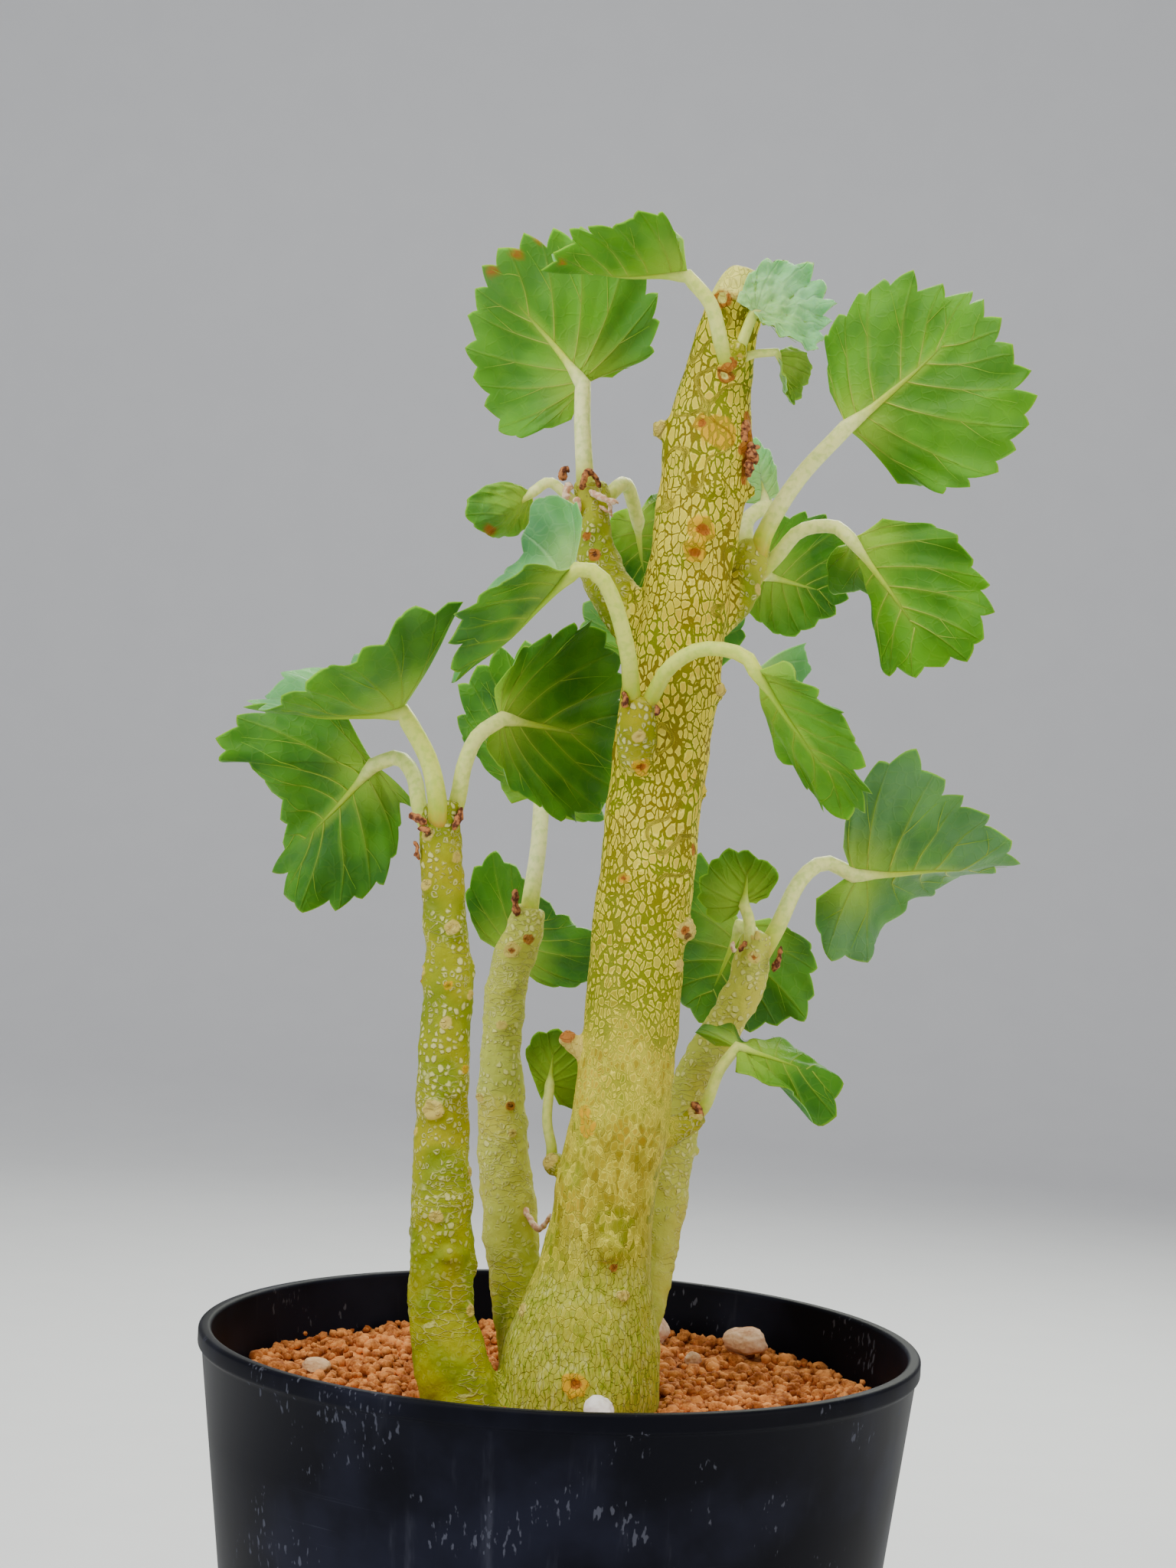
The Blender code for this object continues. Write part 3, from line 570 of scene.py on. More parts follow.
@dataclass(frozen=True)
class BarkFinish:
    """The plant's living skin: corky cream plates over green on the trunk, raised pale spots on the
    younger stems, scars where leaves were.

    The eye gets a crackled, lizard-skin trunk that turns greener and finer towards the soil.
    """
    name: str = "dorstenia_bark"
    plate: str = "#dccb24"
    plate_dull: str = "#ccb93c"
    plate_rim: str = "#f8e850"
    groove: str = "#84740a"
    groove_green: str = "#7c8408"
    warm: str = "#d29a10"
    low: str = "#8c7a04"
    low_green: str = "#6f8204"
    low_rim: str = "#f2e850"
    young: str = "#9a9e06"
    young_deep: str = "#7c8c0a"
    young_pale: str = "#eef070"
    spot: str = "#f4f0a0"
    foot: str = "#b0b43a"
    foot_streak: str = "#d3d67c"
    foot_deep: str = "#8f9e22"
    flesh: str = "#f2f07c"
    scar_pale: str = "#d8be64"
    scar_rust: str = "#a85a1e"
    scar_dark: str = "#5c2e12"
    gold: str = "#dca60a"

    def trunk(self, s: BarkLayout) -> tuple[Node, Node]:
        """The old skin: pale-rimmed plates above, fine cells with pale borders below.

        Args:
            s: the material.

        Returns:
            Its colour and its relief.
        """
        green = s.add(EASE, s.rise, 0.204, 0.176)
        low = s.add(EASE, s.rise, 0.178, 0.138)
        long = s.add(STRETCH, Vector=s.place, Scale=(300, 300, 60))
        long = s.add(NOISE, long, 1, 1)
        groove = s.add(EASE, long, 0.42, 0.72, 0.015, 0.085)
        groove = s.add(SCALE_ADD, s.own, 0.05, groove)
        groove = s.add(SCALE_ADD, green, 0.05, groove)
        high = s.add(("Math", {"operation": "SUBTRACT"}), 1, low)
        groove = s.add(PRODUCT, groove, high)
        shore = s.add(SUM, groove, 0.06)
        plate = s.add(EASE, s.cells, groove, shore)
        inland = s.add(SUM, shore, 0.12)
        middle = s.add(EASE, s.cells, shore, inland, 0, 0.85)
        below = s.add(BLEND, s.tint, self.low, self.low_green)
        body = s.add(BLEND, s.own, self.plate, self.plate_dull)
        shown = s.add(RANGE, s.own, 0, 1, 1, 0.45)
        shown = s.add(TIMES, shown, green)
        body = s.add(BLEND, shown, body, below)
        heat = s.add(TIMES, s.heat, 0.45)
        body = s.add(BLEND, heat, body, self.warm)
        rim = s.add(BLEND, low, self.plate_rim, self.low_rim)
        veil = s.add(RANGE, s.own, 0, 1, 0.8, 0)
        veil = s.add(TIMES, veil, low)
        rim = s.add(BLEND, veil, rim, below)
        top = s.add(BLEND, middle, rim, body)
        lush = s.add(LARGER, s.tint, green)
        gap = s.add(BLEND, lush, self.groove, self.groove_green)
        gap = s.add(BLEND, low, gap, rim)
        skin = s.add(BLEND, plate, gap, top)
        cross = s.add(TIMES, s.cross, low)
        return s.add(BLEND, cross, skin, rim), plate

    def stems(self, s: BarkLayout) -> tuple[Node, Node]:
        """The thinner stems' skin: yellow green, with raised pale spots of 0.3 to 1.2 mm.

        The rear stems are paler, and no foot has spots.

        Args:
            s: the material.

        Returns:
            Its colour and its relief.
        """
        green = s.add(BLEND, s.tint, self.young_deep, self.young)
        wan = s.add(EASE, s.parts.outputs["Y"], 0.002, 0.010, 0, 0.45)
        green = s.add(BLEND, wan, green, self.young_pale)
        heat = s.add(TIMES, s.heat, 0.15)
        green = s.add(BLEND, heat, green, self.warm)
        shore = s.add(RANGE, s.own, 0.4, 1, 0.03, 0.42)
        inner = s.add(SUM, shore, 0.16)
        spot = s.add(EASE, s.cells, shore, inner)
        hollow = s.add(EASE, s.cells, 0.38, 0.22)
        hollow = s.add(LARGER, hollow, s.patch)
        spot = s.add(TIMES, spot, hollow)
        rounded = s.add(EASE, s.near, 0.62, 0.36)
        spot = s.add(TIMES, spot, rounded)
        clear = s.add(EASE, s.parts.outputs["Z"], 0.116, 0.136, 0.12, 1)
        spot = s.add(TIMES, spot, clear)
        raised = s.add(LARGER, s.cross, spot)
        shown = s.add(TIMES, raised, 0.55)
        return s.add(BLEND, shown, green, self.spot), raised

    def material(self) -> Material:
        """Lay out the material.

        Returns:
            The finished material.
        """
        s = BarkLayout(self.name)
        trunk, high = self.trunk(s)
        sprig, raised = self.stems(s)
        # streaks up and down at the foot
        streak = s.add(STRETCH, Vector=s.bent, Scale=(1800, 1800, 420))
        streak = s.add(NOISE, streak, 1, 1)
        dark = s.add(EASE, streak, 0.46, 0.34)
        light = s.add(EASE, streak, 0.52, 0.72, 0, 0.6)
        foot = s.add(BLEND, dark, self.foot, self.foot_deep)
        foot = s.add(BLEND, light, foot, self.foot_streak)
        down = s.add(EASE, s.rise, 0.136, 0.116)
        trunk = s.add(BLEND, down, trunk, foot)
        skin = s.add(BLEND, s.young, trunk, sprig)
        # scars
        rough = s.add(NOISE, s.place, 1300, 2)
        for label, code, strength in (("gold", self.gold, 0.85), ("pale", self.scar_pale, 0.75),
                                      ("rust", self.scar_rust, 0.85), ("dark", self.scar_dark, 0.85),
                                      ("flesh", self.flesh, 0.85)):
            mark = s.add(("Attribute", {"attribute_name": label})).outputs["Fac"]
            ragged = s.add(SCALE_ADD, rough, 0.35, mark)
            mask = s.add(EASE, ragged, 0.58, 0.98, 0, strength)
            if label == "gold":
                plates = s.add(RANGE, high, 0, 1, 0.45, 1)
                mask = s.add(TIMES, mask, plates)
            skin = s.add(BLEND, mask, skin, code)
        relief = s.add(BLEND_VALUES, s.young, high, raised)
        height = s.add(SCALE_ADD, rough, 0.55, relief)
        bump = s.add(BUMP, Strength=1, Distance=0.00025, Height=height)
        s.feed(s.shader, {"Base Color": skin, "Normal": bump, "Roughness": 0.62,
                          "Subsurface Weight": 0.12, "Subsurface Scale": 0.001,
                          "Subsurface Radius": (1, 0.8, 0.1), "Specular IOR Level": 0.15})
        return s.material


@dataclass(frozen=True)
class ClayFinish:
    """Low-fired clay grit, crumbled and sieved: dull orange brown, dusty, no two grains alike."""
    name: str
    light: str
    dark: str
    grain: float  # noise scale, per metre

    def material(self) -> Material:
        """Lay out the material.

        Returns:
            The finished material.
        """
        s = Surface(self.name)
        broad = s.add(NOISE, s.place, self.grain, 1)
        dust = s.add(NOISE, s.place, self.grain * 7, 3)
        mixed = s.add(SCALE_ADD, dust, 0.5, broad)
        tone = s.add(EASE, mixed, 0.52, 0.98)
        colour = s.add(BLEND, tone, self.dark, self.light)
        bump = s.add(BUMP, Strength=0.7, Distance=0.00015, Height=dust)
        s.feed(s.shader, {"Base Color": colour, "Normal": bump, "Roughness": 0.92,
                          "Specular IOR Level": 0.25})
        return s.material


@dataclass(frozen=True)
class PotFinish:
    """Injection-moulded black polypropylene, a little glossy, scuffed and spotted by dried water."""
    name: str = "black_polypropylene"
    black: str = "#0b0c13"
    haze: str = "#1a1c29"
    mineral: str = "#a4a8ba"

    def material(self) -> Material:
        """Lay out the material.

        Returns:
            The finished material.
        """
        s = Surface(self.name)
        cloud = s.add(NOISE, s.place, 45, 4)
        cloud = s.add(EASE, cloud, 0.42, 0.72)
        skin = s.add(BLEND, cloud, self.black, self.haze)
        # water marks: specks, drips down the wall and scratches round it
        specks, drips, rings = (
            s.add(NOISE, s.add(STRETCH, Vector=s.place, Scale=scale), 1, *finish)
            for scale, finish in (((1300, 1300, 500), (2,)), ((260, 260, 22), (4, 0.65)),
                                  ((18, 18, 1500), (3, 0.7))))
        crowd = s.add(NOISE, s.place, 70, 2)
        bare = s.add(EASE, crowd, 0.66, 0.46, 0.58, 0.78)
        dusty = s.add(SUM, bare, 0.08)
        speck = s.add(EASE, specks, bare, dusty)
        drip = s.add(EASE, drips, 0.56, 0.76, 0, 0.4)
        ring = s.add(EASE, rings, 0.64, 0.78, 0, 0.5)
        marks = s.add(LARGER, drip, ring)
        marks = s.add(PRODUCT, marks, cloud)
        marks = s.add(LARGER, marks, speck)
        share = s.add(PRODUCT, marks, 0.15)
        skin = s.add(BLEND, share, skin, self.mineral)
        rough = s.add(RANGE, marks, 0, 1, 0.46, 0.75)
        bump = s.add(BUMP, Strength=0.25, Distance=0.00004, Height=rings)
        s.feed(s.shader, {"Base Color": skin, "Roughness": rough, "Normal": bump,
                          "Specular IOR Level": 0.05})
        return s.material


@dataclass(frozen=True)
class DriedFinish:
    """Dried plant skin: papery, ridged and matt, browner in its folds."""
    name: str
    light: str
    dark: str

    def material(self) -> Material:
        """Lay out the material.

        Returns:
            The finished material.
        """
        s = Surface(self.name)
        folds = s.add(NOISE, s.place, 1300, 3)
        share = s.add(EASE, folds, 0.38, 0.62)
        skin = s.add(BLEND, share, self.dark, self.light)
        bump = s.add(BUMP, Strength=0.8, Distance=0.0001, Height=folds)
        s.feed(s.shader, {"Base Color": skin, "Normal": bump, "Roughness": 0.75,
                          "Specular IOR Level": 0.3})
        return s.material


# The plant's tables, as in the part

@dataclass(frozen=True)
class Leaf:
    """One leaf.

    stalk: points along the leaf's stalk, from inside the stem to the blade.
    margin: points round the blade's edge, clockwise when seen from the underside.
    tip: which margin point the midrib ends at.
    teeth: how many teeth the edge has.
    girth: radius of the stalk.
    arch: how far the blade's middle bulges, towards its upper side if positive.
    looks: how sunlit its green is painted, which is painted light and shade; how waxy its skin and how white
    its stalk, from 0 to 1.
    """
    name: str
    stalk: tuple
    margin: tuple
    tip: int
    teeth: int
    girth: float
    arch: float
    looks: tuple


LEAVES = (
    Leaf("leaf_branch_upright", ((-2.6, 8, 249), (-3.2, 8, 254), (-4, 8, 262), (-4, 10, 269)),
        ((-6, 13, 263), (-17, 17, 261), (-23, 18, 274), (-21, 12, 287), (-10, 8, 293), (2, 8, 292),
        (7, 10, 282), (6, 12, 274), (1, 12, 270)), 3, 20, 1.4, 1.0, (0.75, 0.5, 0.9)),
    Leaf("leaf_branch_folded", ((-2.6, 7, 246.5), (-6, 6, 249.8), (-9, 5.2, 251.8), (-12, 4, 250)),
        ((-11, 7, 246), (-14, 7, 243), (-17, 4, 242), (-20, -1, 243), (-22, -3, 245), (-22, -3, 248),
        (-18, 0, 251), (-14, 3, 251)), 3, 9, 0.9, -0.6, (0.6, 0.8, 0.7)),
    Leaf("leaf_branch_hanging", ((-1.8, 8.8, 246.5), (1.6, 9.6, 251), (4, 13, 252.5), (6, 17, 247)),
        ((9, 23, 252), (13, 28, 252), (16, 31, 246), (14, 31, 238), (9, 29, 234), (4, 26, 236),
        (1, 23, 241), (1, 21, 246), (4, 19, 249)), 4, 15, 1.2, 0.8, (0.3, 0.3, 0.7)),
    Leaf("leaf_crown_drooping", ((19.9, -6, 270.5), (18, -8.2, 275), (16, -9, 281), (12, -9, 286)),
        ((10, -4, 289), (7, 0, 291), (1, 0, 291), (-7, -4, 289), (-10, -11, 286), (-6, -16, 290),
        (1, -18, 292), (7, -17, 294), (11, -13, 290)), 4, 15, 1.2, -0.8, (0.6, 0.2, 0.35)),
    Leaf("leaf_crown_crinkled", ((20.8, -7.3, 273), (22, -8, 277), (23, -9, 280)), ((23, -10, 279),
        (27, -12, 277), (32, -12, 274), (34, -10, 277), (35, -7, 282), (31, -5, 288), (26, -5, 289),
        (22, -7, 286), (20, -9, 281)), 4, 13, 0.9, 0.5, (1.0, 1.5, 0.2)),
    Leaf("leaf_crown_curled", ((20.3, -6, 271.5), (23, -5.6, 273.5), (27, -6, 274)), ((30, -3, 276),
        (33, -3, 273), (32, -5, 269), (30, -8, 266), (28, -9.5, 270)), 3, 6, 0.7, -0.3, (-0.2, 0.2, 0.4)),
    Leaf("leaf_side_large", ((26.3, 8, 240), (27.6, 7.2, 245.5), (33, 12, 255), (41, 15, 264)),
        ((37.5, 19, 271), (38, 22, 281), (46, 21, 290), (57, 18, 288), (62, 14, 285), (69, 9, 273),
        (69, 9, 265), (62, 12, 256), (50, 17, 255)), 4, 19, 1.4, 1.0, (0.8, 0.4, 0.8)),
    Leaf("leaf_side_drooping", ((25.6, 8.6, 237), (29.8, 8.8, 241.5), (33.5, 9, 246), (39, 8, 247),
        (42, 6, 245)), ((47, 5.5, 248.5), (57, 3, 247), (64, 0, 237), (63, 0, 229), (57, 2, 225),
        (48, 8, 224), (46, 13, 236), (40, 18, 236), (40, 14, 244)), 4, 17, 1.2, 0.8, (0.6, 0.2, 0.6)),
    Leaf("leaf_side_shaded", ((23.2, 6.5, 232.5), (24.2, 11, 236), (25, 18, 239.3), (28, 24, 239)),
        ((30, 29, 249), (36, 31, 250), (42, 32, 248), (44, 32, 242), (43, 31, 236), (38, 30, 231),
        (32, 29, 229), (26, 27, 233)), 4, 13, 1.2, 0.6, (0.3, 0.2, 0.6)),
    Leaf("leaf_side_pale", ((25.6, 9.8, 239.5), (24.6, 12.2, 244.5), (25, 16, 248), (28, 18, 251)),
        ((30, 18, 252), (30, 20, 254), (29, 23, 259), (26, 25, 262), (22, 27, 262), (19, 27, 258),
        (20, 25, 253), (25, 21, 251)), 3, 9, 1.3, 0.4, (0.8, 0.9, 0.8)),
    Leaf("leaf_front_left", ((7.3, -8.5, 214), (6.2, -11.5, 218), (5.5, -14.5, 223), (3, -17, 231),
        (0, -18, 236), (-4, -18, 237)), ((-3, -13, 245), (-5, -10, 248), (-9, -8, 248), (-12, -8, 242),
        (-15, -9, 236), (-18, -12, 228), (-21, -19, 218), (-22, -22, 224), (-19, -26, 231), (-14, -26, 235),
        (-8, -24, 236)), 6, 16, 1.3, -0.6, (0.35, 0.5, 0.15)),
    Leaf("leaf_front_right", ((8, -8.5, 214), (10, -11.5, 217.5), (12, -15, 221.5), (16, -18, 224.5),
        (20, -20, 225), (24, -21, 224), (26, -22, 222)), ((29, -27, 223), (33, -30, 220), (38, -30, 217),
        (41, -29, 211), (43, -27, 206), (43, -24, 201), (38, -18, 201), (31, -14, 209), (33, -13, 220),
        (35, -12, 223), (33, -15, 227)), 5, 15, 1.2, -0.8, (0.65, 0.25, 0.1)),
    Leaf("leaf_left_funnel", ((-24.2, -6.2, 193.5), (-24.6, -7, 198.5), (-26.5, -6, 205), (-31, -5, 213)),
        ((-31, 6, 221), (-36, 12, 222), (-44, 9, 219), (-51, 3, 217), (-55, -8, 211), (-45, -17, 216),
        (-37, -19, 221), (-29, -18, 227), (-22, -14, 231)), 4, 17, 1.5, -1.0, (0.6, 0.5, 0.2)),
    Leaf("leaf_left_wide", ((-24, -4.4, 190.5), (-27.4, -2.4, 196), (-29, 2, 201.5), (-32, 5.5, 204.5),
        (-36, 8, 203)), ((-28, 6, 196), (-32, 9, 196), (-32, 12, 190), (-35, 13, 183), (-41, 14, 179),
        (-48, 16, 179), (-52, 18, 185), (-51, 16, 194), (-55, 13, 200), (-62, 11, 203), (-58, 12, 210),
        (-51, 13, 213), (-42, 12, 212)), 6, 19, 1.3, 0.8, (0.3, 0.35, 0.5)),
    Leaf("leaf_left_inner", ((-22.8, -4.2, 193), (-21.3, -3.6, 198.5), (-20.5, -4.2, 204), (-18.5, -4, 209),
        (-15, -2, 212)), ((-16, -2, 217), (-12, 0, 223), (-5, 5, 227), (0, 11, 228), (4, 15, 221),
        (6, 17, 209), (4, 14, 200), (-2, 7, 196), (-10, 0, 199), (-14, -3, 204), (-17, -4, 207)), 5, 18,
        1.3, 0.8, (0.4, 0.2, 0.5)),
    Leaf("leaf_rear_tall", ((-9, 16, 176), (-8.8, 16.3, 181), (-8, 20, 190), (-8, 27, 199)),
        ((-13, 30, 197), (-19, 32, 204), (-23, 33, 211), (-21, 34, 219), (-12, 35, 224), (-5, 36, 222),
        (2, 36, 213), (4, 35, 203), (3, 33, 195), (-4, 30, 195)), 4, 17, 1.4, 0.8, (0.3, 0.5, 1.0)),
    Leaf("leaf_rear_low", ((-9.5, 16, 176.5), (-9.5, 20, 177.5), (-11, 24, 174), (-12, 28, 170)),
        ((-17.5, 28.5, 173), (-20, 29, 180), (-17, 31, 187), (-12, 34, 185), (-6, 37, 179), (3, 38, 173),
        (2, 36, 167), (-2, 33, 165), (-7, 30, 166)), 4, 13, 1.1, 0.6, (0.2, 0.3, 0.9)),
    Leaf("leaf_trunk_rear", ((12.5, 6, 212), (12.6, 12, 214), (12.5, 21, 220), (12, 30, 224)),
        ((2, 33, 222), (-2, 35, 230), (3, 37, 238), (12, 38, 242), (21, 37, 238), (26, 35, 230),
        (22, 33, 222)), 3, 13, 1.1, 0.6, (0.4, 0.6, 0.6)),
    Leaf("leaf_sprout", ((-3, 4, 137.5), (-3, 4, 140.5), (-4, 4, 145), (-4, 5, 151)), ((-5, 6, 148),
        (-7, 4, 153), (-8, 3, 156), (-7, 3, 159), (-3, 4, 160), (1, 6, 157), (2, 8, 151), (1, 9, 147),
        (-2, 8, 147)), 4, 9, 0.85, 0.4, (0.1, 0.1, 0.4)),
    Leaf("leaf_right_small", ((29.4, 19, 174), (28.9, 18.6, 179), (28, 20, 182)), ((27, 21, 180),
        (23, 20, 179), (20, 18, 184), (23, 17, 190), (28, 16, 191), (33, 16, 188), (32, 18, 184),
        (30, 20, 182)), 4, 10, 1.0, 0.4, (0.25, 0.2, 0.4)),
    Leaf("leaf_right_wide", ((30.6, 20.4, 172), (33.8, 21, 178), (37.5, 25, 186), (42, 28, 189.5),
        (47, 29, 188)), ((45, 27, 192), (46, 22, 202), (53, 19, 208), (59, 20, 206), (63, 24, 202),
        (70, 30, 197), (75, 36, 191), (70, 42, 188), (63, 44, 185), (57, 40, 182), (51, 32, 174),
        (43, 29, 174), (41, 29, 183)), 6, 17, 1.35, -0.8, (0.1, 1.3, 0.7)),
    Leaf("leaf_right_rear", ((30, 21, 172), (30, 24.5, 176.5), (28, 28, 178)), ((33, 28, 179),
        (39, 29, 176), (41, 30, 171), (40, 31, 163), (36, 31, 162), (30, 32, 160), (22, 33, 161),
        (16, 36, 168), (16, 36, 182), (20, 34, 190)), 6, 15, 1.2, 0.6, (0.3, 0.6, 0.5)),
    Leaf("leaf_low_forked", ((20.5, 1.5, 147), (22.4, 1.4, 149.5), (24.2, 1.2, 155), (27, 2, 159)),
        ((23.5, 5.5, 159), (20, 9, 161), (25, 13, 162), (29, 15, 159), (33, 11, 160), (39, 6, 158),
        (44, 2, 154), (41, -1, 148), (35, -3, 153), (27, -2, 156)), 6, 12, 0.95, -0.4, (0.3, 0.2, 0.3)),
)

# Stems, as points (x, y, z, radius) along their middles; the first is the trunk
STEMS = (
    ((4, -2, 66, 5), (3.6, -3, 84, 11), (3.4, -4, 100, 13.4), (4.2, -4, 112, 12.2),
     (5.4, -4, 122, 9.4), (6.4, -4, 136, 8.3), (8.2, -4, 148, 8.2), (9.2, -2.5, 166, 7.9),
     (10.4, -1.5, 188, 7.9), (11.9, 0, 207, 7.9), (13.2, 0, 222, 8.0), (14.8, 0, 236, 7.2),
     (16.3, 0, 249, 7.3), (16.9, -0.5, 260, 7.2), (17.8, -1, 268.5, 5.8),
     (19.4, -1.5, 278, 5.0), (20.8, -2, 284, 4.2), (21.6, -2, 287.6, 2.9)),
    ((0, -4, 84, 6), (-11, -7, 94, 7), (-17.2, -8, 104, 6.4), (-19.5, -7, 114.5, 5.4),
     (-20, -6, 124, 5.3), (-20.6, -6, 133, 4.9), (-21.2, -5, 145, 4.4), (-21.4, -5, 158, 4.1),
     (-21.3, -5, 169, 4.1), (-22.3, -5, 177, 3.6), (-23.6, -5, 188, 3.6),
     (-24, -5, 197.3, 2.8)),
    ((-1, 0, 96, 6), (-5, 4, 106, 5.5), (-8, 9, 117, 4.4), (-9.4, 12, 125, 4.7),
     (-11.6, 15, 141, 4.3), (-12.4, 16, 151, 3.9), (-12.6, 16, 159, 3.4), (-12, 16, 167, 3.7),
     (-9.8, 16, 175.5, 3.4), (-8.7, 16, 179.5, 2.6)),
    ((9, 2, 98, 6), (11.5, 7, 107, 4.8), (14.3, 12, 117, 4.2), (16.4, 16, 129.5, 3.9),
     (18.3, 19, 142, 3.8), (22.1, 20, 154, 3.6), (26.7, 20, 163, 3.4), (29.2, 20, 169.6, 3.3),
     (30.5, 20, 177, 2.7)),
    ((12, 0, 224, 4.6), (7.2, 2, 228.8, 4.4), (2.5, 4, 234, 4.0), (-0.5, 6, 240, 3.7),
     (-1.5, 7, 245, 3.5), (-2.2, 8, 251.8, 2.9)),
    ((18, 2, 228, 3.2), (22.4, 4, 233, 3.4), (24.4, 6.5, 237, 3.0), (26.3, 9, 243, 2.8)),
    ((9, -4, 203, 2.8), (7.8, -7.5, 208, 3.4), (7.6, -9, 213, 3.3), (7.8, -9.8, 216.6, 2.6)),
    ((19.3, -3, 268, 1.8), (20.1, -5.5, 271, 2.2), (20.6, -7.5, 275.2, 1.7)),
    ((12, -1, 143, 2.6), (17.5, 0.5, 145.2, 2.5), (21.6, 1.8, 147.8, 1.8)),
    ((3, 0, 136.5, 1.6), (-0.5, 2.4, 136.9, 1.8), (-3, 4, 138, 1.9)),
    ((12.3, 3, 211, 2.6), (12.6, 10, 213.4, 2.0)),
    ((3, -4, 157.5, 1.9), (-0.6, -4, 159.2, 1.7), (-2.1, -4, 160.4, 1.3)),
    ((22.4, -2.6, 253.5, 1.2), (23, -3, 258.5, 1.7), (22.2, -3, 263.5, 1.1)),
)
STUB, SAP_SCAR = 11, 12  # places in STEMS of the dried stub and the sap scar

# Old leaf bases that stand out as knobs: (x, y, z, radius)
KNOBS = (
    (17, -4, 178.7, 2.3), (9.2, -0.8, 261, 1.5), (23.8, -0.5, 251.7, 1.5),
    (20, -2, 218.5, 1.7), (19.1, 0, 201.5, 1), (18.6, -6.6, 251.5, 1.5),
    (15.2, -6.6, 242.5, 1.4), (10.8, -8.1, 205.5, 1.3), (7.2, -12.6, 126.8, 1.6),
    (-18.9, -8.4, 150.5, 1.2), (-20.5, -8.2, 176.5, 1.3), (-22.4, -8, 189.5, 1.1),
    (-19.1, -11, 124, 1.2), (-11, 12.8, 166.5, 1.3), (29, 17.4, 171.5, 1.2),
)


@dataclass
class Camera:
    """The photograph's camera, an assumed long lens half a metre away."""
    width: float = 1536.0  # the photograph's pixels
    height: float = 2048.0
    focal: float = 4250.0  # in those pixels
    away: float = 540.0
    lift: float = 216.0
    pitch: float = 1.5  # degrees down
    roll: float = 2.9  # degrees; upright things lean to the right
    sensor: float = 36.0

    def ray(self, u: float, v: float) -> tuple[Vector, Vector]:
        """Where the sight line through a pixel starts and which way it goes.

        Args:
            u: pixels from the photograph's left edge.
            v: pixels from its top edge.

        Returns:
            The camera's place in millimetres and a unit direction.
        """
        roll, pitch = radians(self.roll), radians(self.pitch)
        right, down = u - self.width / 2, v - self.height / 2
        across = right * cos(roll) + down * sin(roll)
        drop = -right * sin(roll) + down * cos(roll)
        forward = self.focal * cos(pitch) - drop * sin(pitch)
        rise = -drop * cos(pitch) - self.focal * sin(pitch)
        return Vector((0.0, -self.away, self.lift)), Vector((across, forward, rise)).normalized()

    def at_depth(self, u: float, v: float, depth: float) -> Vector:
        """Point of a pixel's sight line at a given Y, in millimetres."""
        eye, way = self.ray(u, v)
        return eye + way * ((depth - eye.y) / way.y)

    def build(self) -> None:
        """Add the camera to the scene."""
        data = bpy.data.cameras.new("camera")
        data.sensor_width = self.sensor
        data.lens = self.focal / self.height * self.sensor
        data.clip_start, data.clip_end = 0.05, 20.0
        obj = add_object("camera", data)
        aim = Matrix.Rotation(radians(90.0 - self.pitch), 4, "X")
        obj.matrix_world = (Matrix.Translation((0.0, -self.away * MM, self.lift * MM)) @ aim
                            @ Matrix.Rotation(radians(self.roll), 4, "Z"))
        bpy.context.scene.camera = obj


# Leaves

class VeinStyle(Enum):
    """How the main side veins leave the midrib."""
    FAN = "fan"
    FEATHER = "feather"


# For each side vein, where it leaves the midrib as a share of the midrib, and where it meets the
# edge as a share of that side's edge from the tip to the stalk
VEINS = {
    VeinStyle.FAN: ((0.0, 0.88), (0.01, 0.68), (0.03, 0.49), (0.12, 0.33), (0.34, 0.20), (0.56, 0.10)),
    VeinStyle.FEATHER: ((0.03, 0.86), (0.12, 0.67), (0.25, 0.49), (0.40, 0.34), (0.55, 0.21), (0.70, 0.11)),
}
FANNED = {"leaf_branch_upright", "leaf_left_funnel", "leaf_left_inner", "leaf_rear_tall",
          "leaf_crown_crinkled", "leaf_sprout", "leaf_right_small"}
# For the rumpled leaves, how high their folds are in millimetres, and how many fit in one
RUMPLED = {"leaf_crown_crinkled": (1.5, 0.45), "leaf_branch_folded": (1.5, 0.24),
           "leaf_crown_curled": (0.8, 0.35)}
# How long the teeth are, against those of the other leaves
TOOTHED = {"leaf_crown_crinkled": 1.5, "leaf_branch_folded": 0.2}


